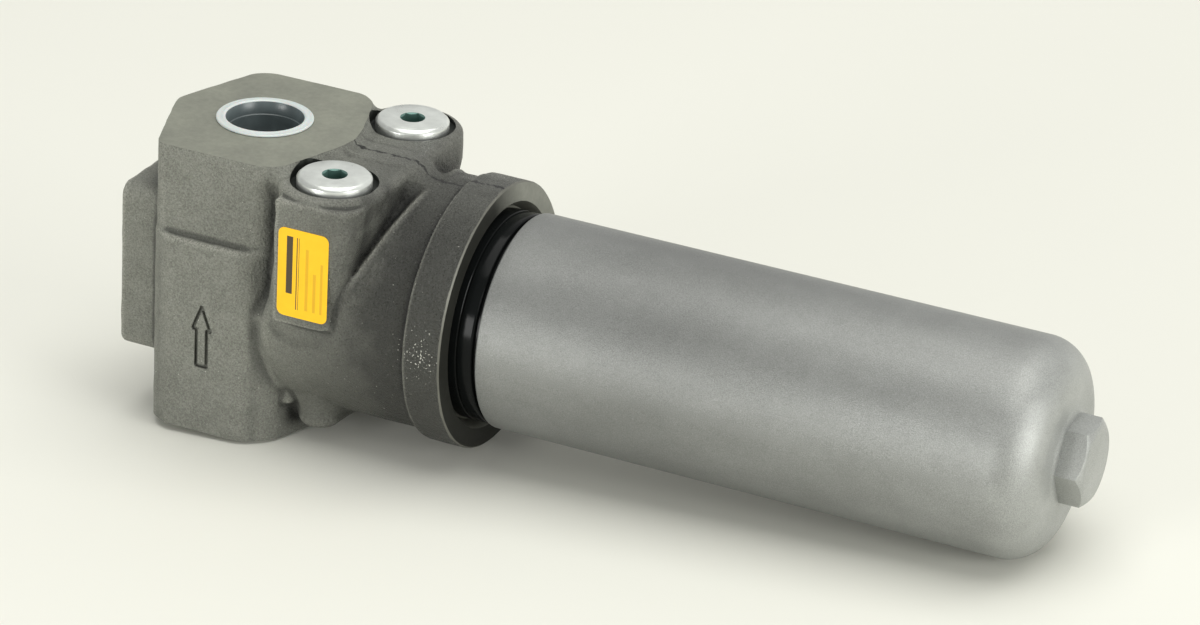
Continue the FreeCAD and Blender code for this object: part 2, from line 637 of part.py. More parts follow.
bowl_end = D.collar_face + D.bowl_length
bowl_rim = D.bowl_stop + D.running_gap
shoulder = D.collar_face + D.bowl_shoulder
thread_run = D.bowl_thread - D.bowl_nose
thread_start = D.head_thread_start + thread_run
thread_end = thread_start + D.thread_length
bowl_turned = turned("bowl_shell", [
    (bowl_rim, D.bowl_bore), (bowl_rim, D.bowl_nose - D.nose_lead), (bowl_rim + D.nose_lead * 2, D.bowl_nose),
    (thread_start, D.bowl_nose), (thread_start + D.thread_lead, D.bowl_thread),
    (thread_end, D.bowl_thread), (thread_end + D.neck_step, D.bowl_neck),
    (shoulder, D.bowl_neck),
    (shoulder, D.bowl_radius), (bowl_end, D.bowl_radius), (bowl_end, ZERO),
    (bowl_end - D.bowl_floor, ZERO), (bowl_end - D.bowl_floor, D.bowl_bore)])
soften(bowl_turned, "bowl_end_round", "Fillet", D.bowl_corner, is_ring(bowl_end, D.bowl_radius))
soften(bowl_turned, "bowl_inside_round", "Fillet", D.bowl_inner_corner,
       is_ring(bowl_end - D.bowl_floor, D.bowl_bore))
soften(bowl_turned, "bowl_shoulder_round", "Fillet", D.port_edge, is_ring(shoulder, D.bowl_radius))

hexagon_bar = doc.addObject("Part::Prism", "hexagon_bar")
hexagon_bar.Polygon = 6
hexagon_corner = D.hexagon_flats / math.sqrt(3.0)
hexagon_end = bowl_end + D.hexagon_length
hexagon_start = bowl_end - D.overlap
bind(hexagon_bar, "Circumradius", hexagon_corner)
bind(hexagon_bar, "Height", D.hexagon_length + D.overlap)
place(hexagon_bar, (hexagon_start, ZERO, ZERO), ALONG["X"] * FreeCAD.Rotation(Vector(0, 0, 1), 30))
crown_run = hexagon_corner - D.hexagon_crown + D.hexagon_slope
crown = turned("hexagon_crown_turning", [
    (hexagon_start, ZERO), (hexagon_end, ZERO), (hexagon_end, D.hexagon_crown - D.hexagon_bevel),
    (hexagon_end - crown_run, hexagon_corner), (hexagon_start, hexagon_corner)])
hexagon = common("hexagon", [hexagon_bar, crown])
land = cone("hexagon_land_turning", D.hexagon_land + D.hexagon_land_rise, D.hexagon_land,
            D.hexagon_land_rise + D.overlap, (hexagon_start, ZERO, ZERO), "X")
bowl = join("bowl", [bowl_turned, hexagon, land])

ring_start = recess_start + D.running_gap
ring_end = shoulder - D.running_gap
collar_ring = turned("collar_ring", [
    (ring_start, D.bowl_neck + D.fit_gap), (ring_start, D.ring_radius),
    (ring_end - D.ring_lip, D.ring_radius), (ring_end - D.ring_lip, D.ring_step),
    (ring_end, D.ring_step), (ring_end, D.bowl_neck + D.fit_gap)])
soften(collar_ring, "collar_ring_round", "Fillet", D.port_edge, is_ring(ring_end - D.ring_lip, D.ring_radius))

bowl_o_ring = torus("bowl_o_ring", D.bowl_nose + D.fit_gap + D.bowl_seal / 2, D.bowl_seal / 2,
                    (D.groove_start + D.bowl_seal / 2 + D.sliding_gap, ZERO, ZERO), "X")
backup_start = D.groove_start + D.groove_width - D.backup_width
bowl_backup_ring = turned("bowl_backup_ring", [
    (backup_start, D.bowl_nose + D.fit_gap), (backup_start + D.backup_width, D.bowl_nose + D.fit_gap),
    (backup_start + D.backup_width, D.groove_radius), (backup_start, D.groove_radius)])

# Element and its spigot

spigot = turned("element_spigot", [
    (D.spigot_socket, D.gallery), (D.spigot_end, D.gallery), (D.spigot_end, D.spigot_radius - D.spigot_lead),
    (D.spigot_end - D.spigot_lead * 2, D.spigot_radius), (D.spigot_socket, D.spigot_radius)])

hub_bore = D.spigot_radius + D.sliding_gap
hub_outer = hub_bore + D.hub_wall
hub_start = D.element_start - D.hub_nose
plate_end = D.element_start + D.cap_plate
seal_start = plate_end + D.seal_step
seal_end = seal_start + D.element_seal + D.sliding_gap * 2
rim_bore = D.element_radius - D.cap_rim
top_cap = turned("element_top_cap", [
    (hub_start, hub_bore + D.hub_lead), (hub_start, hub_outer), (D.element_start, hub_outer),
    (D.element_start, D.element_radius), (D.element_start + D.cap_rim_length, D.element_radius),
    (D.element_start + D.cap_rim_length, rim_bore), (plate_end, rim_bore),
    (plate_end, hub_outer), (hub_start + D.hub_length, hub_outer), (hub_start + D.hub_length, hub_bore),
    (seal_end, hub_bore), (seal_end, hub_bore + D.element_seal),
    (seal_start, hub_bore + D.element_seal), (seal_start, hub_bore), (hub_start + D.hub_lead, hub_bore)])
element_o_ring = torus("element_o_ring", D.spigot_radius + D.fit_gap + D.element_seal / 2, D.element_seal / 2,
                       (seal_start + D.element_seal / 2 + D.sliding_gap, ZERO, ZERO), "X")

element_end = bowl_end - D.bowl_floor - D.element_reserve
bottom_plate = element_end - D.cap_plate
core_bore = D.core_radius - D.core_wall
bottom_cap = turned("element_bottom_cap", [
    (bottom_plate - D.cap_rim_length, ZERO), (bottom_plate - D.cap_rim_length, core_bore - D.cap_rim),
    (bottom_plate - D.cap_rim_length + D.cap_rim, core_bore), (bottom_plate, core_bore),
    (bottom_plate, rim_bore), (element_end - D.cap_rim_length, rim_bore),
    (element_end - D.cap_rim_length, D.element_radius), (element_end, D.element_radius), (element_end, ZERO)])

media_length = bottom_plate - plate_end
core_tube = turned("core_tube", [
    (plate_end, core_bore), (bottom_plate, core_bore),
    (bottom_plate, D.core_radius), (plate_end, D.core_radius)])
hole_zone_start = hub_start + D.hub_length
hole_pitch = (bottom_plate - D.cap_rim_length - hole_zone_start) / D.core_hole_rows
hole_reach = D.core_radius + D.overlap
core_holes = []
for row in range(int(D.core_hole_rows.value)):
    for spoke in range(int(D.core_hole_count.value) // 2):
        angle = (spoke + 0.5 * (row % 2)) * 360.0 / D.core_hole_count.value
        core_holes.append(cylinder("core_hole_%d_%d" % (row, spoke), D.core_hole, hole_reach * 2, (
            hole_zone_start + hole_pitch * (row + 0.5),
            hole_reach * math.sin(math.radians(angle)),
            -hole_reach * math.cos(math.radians(angle))),
            turn=FreeCAD.Rotation(Vector(1, 0, 0), angle)))
element_core = cut("element_core", core_tube, core_holes)


def pleat_ring(inner, outer, count):
    """A closed zigzag with a tip and a root for each pleat, in the plane X = 0."""
    step = math.pi / count
    points = []
    for index in range(2 * count):
        radius = outer if index % 2 == 0 else inner
        points.append(Vector(0, radius * math.cos(index * step), radius * math.sin(index * step)))
    return Part.makePolygon(points + points[:1])


def pleated_media():
    """The pleated stack: two zigzags one depth apart, drawn along the element."""
    count = int(D.pleat_count.value)
    inner, outer, depth = D.media_inner.value, D.media_outer.value, D.media_depth.value
    outside = Part.Face(pleat_ring(inner + depth, outer, count))
    inside = Part.Face(pleat_ring(inner, outer - depth, count))
    shape = outside.cut(inside).extrude(Vector(media_length.value, 0, 0))
    item = doc.addObject("Part::Feature", "element_media")
    item.Shape = shape
    place(item, (plate_end, ZERO, ZERO))
    return item


element_media = pleated_media()


# Bypass valve in the wall between inlet and outlet; its upright axis is the ports' axis

valve_at = (D.port_axis, ZERO, -D.outlet_floor)
flange_top = D.seat_flange_height
seat_rim = D.cage_bore - D.sliding_gap
poppet_room = D.poppet_radius + D.running_gap
bypass_seat = turned("bypass_seat", [
    (D.seat_bore, D.outlet_floor - D.inlet_roof), (D.seat_shank, D.outlet_floor - D.inlet_roof),
    (D.seat_shank, ZERO), (D.seat_flange, ZERO), (D.seat_flange, flange_top), (seat_rim, flange_top),
    (seat_rim, flange_top + D.seat_collar), (poppet_room, flange_top + D.seat_collar),
    (poppet_room, flange_top), (D.seat_bore + D.seat_bevel, flange_top),
    (D.seat_bore, flange_top - D.seat_bevel)], valve_at, "V_Axis")

poppet_low = flange_top - D.poppet_drop
cone_run = D.poppet_radius - D.poppet_nose
poppet_back = poppet_low + cone_run + D.poppet_rim
cage_top = flange_top + D.cage_height
bypass_poppet = turned("bypass_poppet", [
    (ZERO, poppet_low), (D.poppet_nose, poppet_low), (D.poppet_radius, poppet_low + cone_run),
    (D.poppet_radius, poppet_back), (D.stem_radius, poppet_back),
    (D.stem_radius, cage_top + D.stem_reach - D.stem_bevel),
    (D.stem_radius - D.stem_bevel, cage_top + D.stem_reach), (ZERO, cage_top + D.stem_reach)],
    valve_at, "V_Axis")

stem_hole = D.stem_radius + D.sliding_gap
cage_shell = turned("bypass_cage_shell", [
    (D.cage_bore, flange_top), (D.cage_radius, flange_top), (D.cage_radius, cage_top - D.cage_bevel),
    (D.cage_radius - D.cage_bevel, cage_top), (stem_hole, cage_top), (stem_hole, cage_top - D.cage_plate),
    (D.cage_bore, cage_top - D.cage_plate)], valve_at, "V_Axis")
cage_windows = []
for spoke in range(3):
    window = doc.addObject("Part::Box", "cage_window_%d" % spoke)
    bind(window, "Length", D.cage_radius + D.overlap)
    bind(window, "Width", D.cage_window)
    bind(window, "Height", D.cage_height - D.cage_plate - D.cage_sill - D.cage_lintel)
    heading = 120.0 * spoke + 60.0
    angle = math.radians(heading)
    place(window, (D.port_axis + D.cage_window / 2 * math.sin(angle), -D.cage_window / 2 * math.cos(angle),
                   -D.outlet_floor + flange_top + D.cage_sill), FreeCAD.Rotation(Vector(0, 0, 1), heading))
    cage_windows.append(window)
bypass_cage = cut("bypass_cage", cage_shell, cage_windows)

spring_low = poppet_back + D.spring_wire + D.sliding_gap
spring_high = cage_top - D.cage_plate - D.spring_wire - D.sliding_gap
spring_line = doc.addObject("Part::Helix", "bypass_spring_line")
bind(spring_line, "Radius", D.spring_radius)
bind(spring_line, "Height", spring_high - spring_low)
bind(spring_line, "Pitch", (spring_high - spring_low) / D.spring_turns)
place(spring_line, (D.port_axis, ZERO, -D.outlet_floor + spring_low))
spring_section = doc.addObject("Part::Circle", "bypass_spring_section")
bind(spring_section, "Radius", D.spring_wire)
place(spring_section, (D.port_axis + D.spring_radius, ZERO, -D.outlet_floor + spring_low),
      FreeCAD.Rotation(Vector(1, 0, 0), 90))
bypass_spring = doc.addObject("Part::Sweep", "bypass_spring")
bypass_spring.Sections = [spring_section]
bypass_spring.Spine = (spring_line, [])
bypass_spring.Solid = True
bypass_spring.Frenet = True


# Plugs with their captive seal rings, and the outlet port's cap

def sealing_plug(side, sign):
    """A hexagon-socket plug and its seal ring on the seat of one boss."""
    at = (D.plug_place, sign * D.plug_spread, D.seat_level)
    label = "plug_" + side
    low = D.sliding_gap
    top = D.plug_head_height
    turned_plug = turned(label + "_turning", [
        (ZERO, -D.plug_length), (D.plug_shank - D.plug_point, -D.plug_length),
        (D.plug_shank, -D.plug_length + D.plug_point), (D.plug_shank, D.plug_seal_height + low),
        (D.plug_seal_radius, D.plug_seal_height + low), (D.plug_seal_radius, low), (D.plug_head, low),
        (D.plug_head, top - D.plug_bevel), (D.plug_head - D.plug_bevel, top), (ZERO, top)], at, "V_Axis")
    socket = doc.addObject("Part::Prism", label + "_socket")
    socket.Polygon = 6
    bind(socket, "Circumradius", D.plug_socket / math.sqrt(3.0))
    bind(socket, "Height", D.plug_socket_depth + D.overlap)
    place(socket, at[:2] + (D.seat_level + top - D.plug_socket_depth,))
    sink = cone(label + "_countersink", D.plug_socket / 2, D.plug_countersink, D.plug_sink_depth,
                at[:2] + (D.seat_level + top - D.plug_sink_depth,))
    plug = cut(label, turned_plug, [socket, sink])
    seal_inner = D.plug_shank + D.fit_gap
    seal_outer = D.plug_seal_radius - D.sliding_gap
    seal = turned("plug_seal_" + side, [
        (seal_inner, D.fit_gap), (seal_outer, D.fit_gap),
        (seal_outer, D.plug_seal_height), (seal_inner, D.plug_seal_height)], at, "V_Axis")
    return plug, seal


plug_front, plug_seal_front = sealing_plug("front", -1)
plug_rear, plug_seal_rear = sealing_plug("rear", 1)

cap_body = D.port_thread - D.sliding_gap
cap_low = -D.port_cap_depth
cap_inside = cap_body - D.port_cap_wall
cap_crest = D.port_cap_rise + D.port_cap_bead
outlet_port_cap = turned("outlet_port_cap", [
    (ZERO, cap_low), (cap_body - D.port_cap_draft - D.port_cap_edge, cap_low),
    (cap_body - D.port_cap_draft, cap_low + D.port_cap_edge), (cap_body, -D.port_cap_shank),
    (cap_body, D.fit_gap), (D.port_cap_flange, D.fit_gap),
    (D.port_cap_flange, D.port_cap_rise - D.port_cap_bead),
    (D.port_cap_flange - D.port_cap_bead, D.port_cap_rise), (D.port_cap_rim, D.port_cap_rise),
    (D.port_cap_rim - D.port_cap_bead, cap_crest), (cap_inside + D.port_cap_bead, cap_crest),
    (cap_inside, D.port_cap_rise), (cap_inside - D.port_cap_draft, cap_low + D.port_cap_wall),
    (ZERO, cap_low + D.port_cap_wall)],
    (D.port_axis, ZERO, D.port_face), "V_Axis")

label_body = padded("label_foil", [
    (D.label_place - D.label_width / 2, D.label_level - D.label_height / 2),
    (D.label_place + D.label_width / 2, D.label_level - D.label_height / 2),
    (D.label_place + D.label_width / 2, D.label_level + D.label_height / 2),
    (D.label_place - D.label_width / 2, D.label_level + D.label_height / 2)],
    D.label_foil, role="XZ_Plane", start=label_back)
soften(label_body, "label_corners", "Fillet", D.label_corner, is_line_along((0, 1, 0)))

doc.recompute()

NODES = [
    head, bowl, collar_ring, bowl_o_ring, bowl_backup_ring, spigot, top_cap, element_o_ring, element_core,
    element_media, bottom_cap, bypass_seat, bypass_poppet, bypass_spring, bypass_cage, plug_front, plug_rear,
    plug_seal_front, plug_seal_rear, outlet_port_cap, label_body,
]

for item in doc.Objects:
    if any(word in ("Invalid", "Error") for word in item.State):
        raise RuntimeError(item.Name + " failed: " + ", ".join(item.State))
for item in NODES:
    if item.Shape.isNull() or not item.Shape.isValid():
        raise RuntimeError(item.Label + " has no valid shape")

os.makedirs("parts", exist_ok=True)
for item in NODES:
    item.Shape.exportStep("parts/" + item.Label + ".step")
    box = item.Shape.BoundBox
    print("%-20s solids %d volume %10.1f  x %.1f %.1f  y %.1f %.1f  z %.1f %.1f" % (
        item.Label, len(item.Shape.Solids), item.Shape.Volume,
        box.XMin, box.XMax, box.YMin, box.YMax, box.ZMin, box.ZMax))
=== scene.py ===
"""Looks of the hydraulic filter housing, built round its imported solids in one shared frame.

The frame is the part's own: the origin is the centre of the mounting pad's face, +X runs along the bowl,
+Z points out of the outlet port, and every length handed to Blender is in metres. Sizes in the classes
below are in millimetres and are turned into metres when a mesh is made.
"""

from __future__ import annotations

import logging
import math
from dataclasses import dataclass, field
from enum import Enum, IntEnum
from typing import Callable, Sequence

import bmesh
import bpy
import numpy as np
from mathutils import Matrix, Vector


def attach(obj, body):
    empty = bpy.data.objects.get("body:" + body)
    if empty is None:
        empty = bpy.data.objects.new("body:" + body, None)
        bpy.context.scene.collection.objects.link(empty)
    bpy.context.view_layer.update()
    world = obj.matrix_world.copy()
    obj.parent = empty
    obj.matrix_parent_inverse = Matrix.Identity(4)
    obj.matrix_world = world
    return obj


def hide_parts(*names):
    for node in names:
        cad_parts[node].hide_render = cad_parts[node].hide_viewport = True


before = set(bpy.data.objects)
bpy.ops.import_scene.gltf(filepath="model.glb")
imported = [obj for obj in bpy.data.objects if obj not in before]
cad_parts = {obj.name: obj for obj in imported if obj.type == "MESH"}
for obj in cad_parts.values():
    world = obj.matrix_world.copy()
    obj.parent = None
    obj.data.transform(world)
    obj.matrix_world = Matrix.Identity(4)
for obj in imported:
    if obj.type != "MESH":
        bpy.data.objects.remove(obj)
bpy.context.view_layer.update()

LOG = logging.getLogger("filter_housing")
MM = 0.001
ON_AXIS = 1e-6
Colour = tuple[float, float, float]
Point = tuple[float, float, float]
Profile = Sequence[tuple[float, float]]
Piece = bpy.types.Object
Material = bpy.types.Material
Socket = bpy.types.NodeSocket


class Axis(Enum):
    """The row axis that a piece is turned about or drawn along."""

    X = "X"
    Y = "Y"
    Z = "Z"


class Join(Enum):
    """How a tool works on a piece."""

    CUT = "DIFFERENCE"
    ADD = "UNION"
    SHARE = "INTERSECT"


class HeadFinish(IntEnum):
    """The finishes of the head's faces, in the order of its materials."""

    CAST = 0
    PORT_FACE = 1
    BORED = 2
    PLUG_SEAT = 3
    PAD_FACE = 4
    COLLAR_FACE = 5
    COLLAR_RIM = 6


# Meshes


def mesh_object(name: str, points: np.ndarray, faces: Sequence[Sequence[int]]) -> Piece:
    """Make a mesh object at the origin from points in millimetres.

    Args:
        name: The piece's name.
        points: Corner positions, one row each, in millimetres.
        faces: Corner numbers of each face, turning anticlockwise seen from outside.

    Returns:
        The new object, linked to the scene.
    """
    mesh = bpy.data.meshes.new(name)
    mesh.from_pydata((np.asarray(points, float) * MM).tolist(), [], [list(face) for face in faces])
    mesh.validate()
    piece = bpy.data.objects.new(name, mesh)
    bpy.context.scene.collection.objects.link(piece)
    return piece


def turned_mesh(
    name: str, profile: Profile, axis: Axis, centre: Point = (0.0, 0.0, 0.0), sides: int = 128
) -> Piece:
    """Turn a closed profile about an axis into a closed mesh.

    Args:
        name: The piece's name.
        profile: Points (place along the axis, radius) in millimetres, from one end of the axis to the other.
        axis: The row axis it is turned about.
        centre: A point on the turning axis, in millimetres.
        sides: Number of steps round.

    Returns:
        The new object with faces pointing outwards.
    """
    angles = np.arange(sides) * 2.0 * math.pi / sides
    points: list[Point] = []
    rings: list[list[int]] = []
    for along, radius in profile:
        start = len(points)
        if radius < ON_AXIS:
            points.append((along, 0.0, 0.0))
            rings.append([start] * sides)
        else:
            points += [(along, radius * math.cos(a), radius * math.sin(a)) for a in angles]
            rings.append(list(range(start, start + sides)))
    faces: list[list[int]] = []
    closed = profile[0][1] > ON_AXIS
    pairs = list(zip(rings, rings[1:])) + ([(rings[-1], rings[0])] if closed else [])
    for low, high in pairs:
        for index in range(sides):
            turn = (index + 1) % sides
            corners = [low[index], low[turn], high[turn], high[index]]
            face = list(dict.fromkeys(corners))
            if len(face) > 2:
                faces.append(face)
    order = {Axis.X: (0, 1, 2), Axis.Y: (2, 0, 1), Axis.Z: (1, 2, 0)}[axis]
    piece = mesh_object(name, np.array(points)[:, order] + np.array(centre), faces)
    face_outwards(piece)
    return piece


def read_rows(items: bpy.types.bpy_prop_collection, name: str) -> np.ndarray:
    """Read a property of three numbers from a mesh's corners or faces.

    Args:
        items: The mesh's corners or faces.
        name: The property.

    Returns:
        One row for each item.
    """
    values = np.zeros(len(items) * 3)
    items.foreach_get(name, values)
    return values.reshape(-1, 3)


def store_number(mesh: bpy.types.Mesh, name: str, values: np.ndarray) -> None:
    """Keep a number at each corner of a mesh, for its material to read."""
    layer = mesh.attributes.new(name, "FLOAT", "POINT")
    layer.data.foreach_set("value", values.astype(np.float32))


def face_outwards(piece: Piece) -> None:
    """Turn a closed mesh the right way round when its volume comes out negative.

    Args:
        piece: The piece, whose faces already agree with each other.
    """
    mesh = piece.data
    mesh.calc_loop_triangles()
    corners = read_rows(mesh.vertices, "co")
    triangles = np.zeros(len(mesh.loop_triangles) * 3, np.int32)
    mesh.loop_triangles.foreach_get("vertices", triangles)
    a, b, c = (corners[triangles.reshape(-1, 3)[:, i]] for i in range(3))
    if np.einsum("ij,ij->i", a, np.cross(b, c)).sum() < 0.0:
        mesh.flip_normals()


def prism(name: str, outline: Profile, low: float, high: float, normal: Axis = Axis.Z) -> Piece:
    """Draw a flat outline out into a closed solid.

    Args:
        name: The piece's name.
        outline: Corners in millimetres, in the plane square to the normal.
        low: Where the solid starts along the normal.
        high: Where it ends.
        normal: The row axis it is drawn along.

    Returns:
        The new object.
    """
    order = {Axis.X: (2, 0, 1), Axis.Y: (0, 2, 1), Axis.Z: (0, 1, 2)}[normal]
    flat = [(u, v, low) for u, v in outline] + [(u, v, high) for u, v in outline]
    points = np.array(flat)[:, order]
    count = len(outline)
    sides = [[i, (i + 1) % count, (i + 1) % count + count, i + count] for i in range(count)]
    piece = mesh_object(name, points, sides + [list(range(count))[::-1], list(range(count, 2 * count))])
    make_normals_agree(piece)
    face_outwards(piece)
    return piece


def make_normals_agree(piece: Piece) -> None:
    """Make all faces of a closed mesh turn the same way.

    Args:
        piece: The piece.
    """
    work = bmesh.new()
    work.from_mesh(piece.data)
    bmesh.ops.recalc_face_normals(work, faces=work.faces[:])
    work.to_mesh(piece.data)
    work.free()


def rounded_outline(corners: Profile, radius: float, steps: int = 6) -> list[tuple[float, float]]:
    """Round the corners of a flat outline.

    Args:
        corners: The outline's sharp corners in order.
        radius: Rounding radius in the outline's own unit.
        steps: Number of points in each round, less one.

    Returns:
        The rounded outline.
    """
    result: list[tuple[float, float]] = []
    count = len(corners)
    for index in range(count):
        before, here, after = (Vector(corners[(index + shift) % count]) for shift in (-1, 0, 1))
        to_before, to_after = (before - here).normalized(), (after - here).normalized()
        half = to_before.angle(to_after) / 2.0
        reach = radius / math.tan(half)
        middle = here + (to_before + to_after).normalized() * (radius / math.sin(half))
        first, last = here + to_before * reach - middle, here + to_after * reach - middle
        for step in range(steps + 1):
            spoke = first.slerp(last, step / steps).normalized() * radius
            result.append(tuple(middle + spoke))
    return result


def arc(
    centre: tuple[float, float], radius: float, start: float, end: float, steps: int = 10
) -> list[tuple[float, float]]:
    """Points of an arc in a profile, angles in degrees, from start to end."""
    turns = np.radians(np.linspace(start, end, steps + 1))
    return [(centre[0] + radius * math.cos(t), centre[1] + radius * math.sin(t)) for t in turns]


def hexagon_outline(flats: float, centre: Sequence[float], turn: float) -> list[tuple[float, float]]:
    """Corners of a hexagon.

    Args:
        flats: Its width across flats.
        centre: Its centre.
        turn: Where its first corner lies, in degrees.

    Returns:
        The six corners.
    """
    reach = flats / math.sqrt(3.0)
    angles = [math.radians(60 * step + turn) for step in range(6)]
    return [(centre[0] + reach * math.cos(angle), centre[1] + reach * math.sin(angle)) for angle in angles]


def settle(piece: Piece) -> None:
    """Replace a piece's mesh by its evaluated one and drop its modifiers.

    Args:
        piece: The piece.
    """
    bpy.context.view_layer.update()
    graph = bpy.context.evaluated_depsgraph_get()
    mesh = bpy.data.meshes.new_from_object(piece.evaluated_get(graph))
    piece.modifiers.clear()
    old = piece.data
    piece.data = mesh
    mesh.name = piece.name
    bpy.data.meshes.remove(old)


def combine(target: Piece, tools: Sequence[Piece], join: Join = Join.CUT) -> None:
    """Cut, join or meet closed tools with a closed target, one after the other, and drop the tools.

    Args:
        target: The piece that is changed.
        tools: Closed pieces that are used up.
        join: How each tool works on it.
    """
    for tool in tools:
        modifier = target.modifiers.new("combine", "BOOLEAN")
        modifier.object = tool
        modifier.operation = join.value
        modifier.solver = "MANIFOLD"
        settle(target)
        mesh = tool.data
        bpy.data.objects.remove(tool)
        bpy.data.meshes.remove(mesh)


def smooth_over(piece: Piece, degrees: float) -> None:
    """Shade a piece smooth but keep edges sharper than an angle."""
    piece.data.shade_smooth()
    piece.data.set_sharp_from_angle(angle=math.radians(degrees))


def bevel_edges(piece: Piece, width: float, segments: int, degrees: float = 30.0) -> None:
    """Round the edges of a piece that are sharper than an angle.

    Args:
        piece: The piece.
        width: Width of the round, in millimetres.
        segments: Faces across the round.
        degrees: The angle.
    """
    modifier = piece.modifiers.new("bevel", "BEVEL")
    modifier.width = width * MM
    modifier.segments = segments
    modifier.limit_method = "ANGLE"
    modifier.angle_limit = math.radians(degrees)
    modifier.use_clamp_overlap = True
    settle(piece)


# Distance fields of cast forms, in millimetres: below zero is metal


def fillet_join(a: np.ndarray, b: np.ndarray, radius: np.ndarray | float) -> np.ndarray:
    """Two forms as one, with a fillet of a radius where they meet."""
    u, v = np.maximum(radius - a, 0.0), np.maximum(radius - b, 0.0)
    return np.maximum(radius, np.minimum(a, b)) - np.sqrt(u * u + v * v)


def round_meet(a: np.ndarray, b: np.ndarray, radius: float) -> np.ndarray:
    """What two forms share, with a round of a radius on the edge between them."""
    return -fillet_join(-a, -b, radius)


def ramp(value: np.ndarray, start: float, end: float) -> np.ndarray:
    """Nought at the start and one at the end, straight between them and held beyond."""
    return np.clip((value - start) / (end - start), 0.0, 1.0)


def ease(share: np.ndarray) -> np.ndarray:
    """A share that starts and ends gently."""
    return share * share * (3.0 - 2.0 * share)


def net_surface(values: np.ndarray, low: np.ndarray, step: float) -> tuple[np.ndarray, np.ndarray]:
    """Lay a net of four-sided faces over the zero level of a grid of distances.

    Args:
        values: Distances at the grid's points.
        low: The grid's first point.
        step: The grid's spacing.

    Returns:
        Corner positions, and four corner numbers for each face.
    """
    inside = values < 0.0
    cells = tuple(size - 1 for size in values.shape)
    total = np.zeros(cells + (3,))
    count = np.zeros(cells)
    crossings = []
    for axis in range(3):
        first, second = (axis + 1) % 3, (axis + 2) % 3
        lower = tuple(slice(0, -1) if i == axis else slice(None) for i in range(3))
        upper = tuple(slice(1, None) if i == axis else slice(None) for i in range(3))
        spots = np.argwhere(inside[lower] != inside[upper])
        where = tuple(spots.T)
        start, end = values[lower][where], values[upper][where]
        place = spots.astype(float)
        place[:, axis] += start / (start - end)
        for shift_first in (0, -1):
            for shift_second in (0, -1):
                cell = spots.copy()
                cell[:, first] += shift_first
                cell[:, second] += shift_second
                held = np.all((cell >= 0) & (cell < np.array(cells)), axis=1)
                key = tuple(cell[held].T)
                np.add.at(total, key, place[held])
                np.add.at(count, key, 1.0)
        crossings.append((spots, inside[lower][where], first, second))
    used = count > 0
    number = np.full(cells, -1, np.int64)
    number[used] = np.arange(int(used.sum()))
    corners = total[used] / count[used][:, None] * step + low
    quads = []
    for spots, leaving, first, second in crossings:
        ring = []
        for shift_first, shift_second in ((-1, -1), (0, -1), (0, 0), (-1, 0)):
            cell = spots.copy()
            cell[:, first] += shift_first
            cell[:, second] += shift_second
            ring.append(number[tuple(np.clip(cell, 0, np.array(cells) - 1).T)])
        quad = np.stack(ring, axis=1)
        quad[~leaving] = quad[~leaving][:, ::-1]
        quads.append(quad)
    return corners, np.concatenate(quads)


def slope_of(shape: Callable[[np.ndarray], np.ndarray], points: np.ndarray, reach: float = 0.05) -> np.ndarray:
    """The direction and rate in which a field grows.

    Args:
        shape: The field.
        points: Positions, one row each, in millimetres.
        reach: How far to either side the field is read.

    Returns:
        One row for each point.
    """
    result = np.zeros_like(points)
    for axis in range(3):
        shift = np.zeros(3)
        shift[axis] = reach
        result[:, axis] = (shape(points + shift) - shape(points - shift)) / (2.0 * reach)
    return result


def pull_onto(
    shape: Callable[[np.ndarray], np.ndarray], points: np.ndarray, rounds: int = 3, longest: float = 0.7
) -> np.ndarray:
    """Move points onto the zero level of a field.

    Args:
        shape: The field.
        points: Positions, one row each, in millimetres.
        rounds: How often they are moved.
        longest: The longest move in one round.

    Returns:
        The moved points.
    """
    for _ in range(rounds):
        slope = slope_of(shape, points)
        away = shape(points) / np.maximum((slope**2).sum(axis=1), 0.2)
        points = points - slope * np.clip(away, -longest, longest)[:, None]
    return points


# Materials


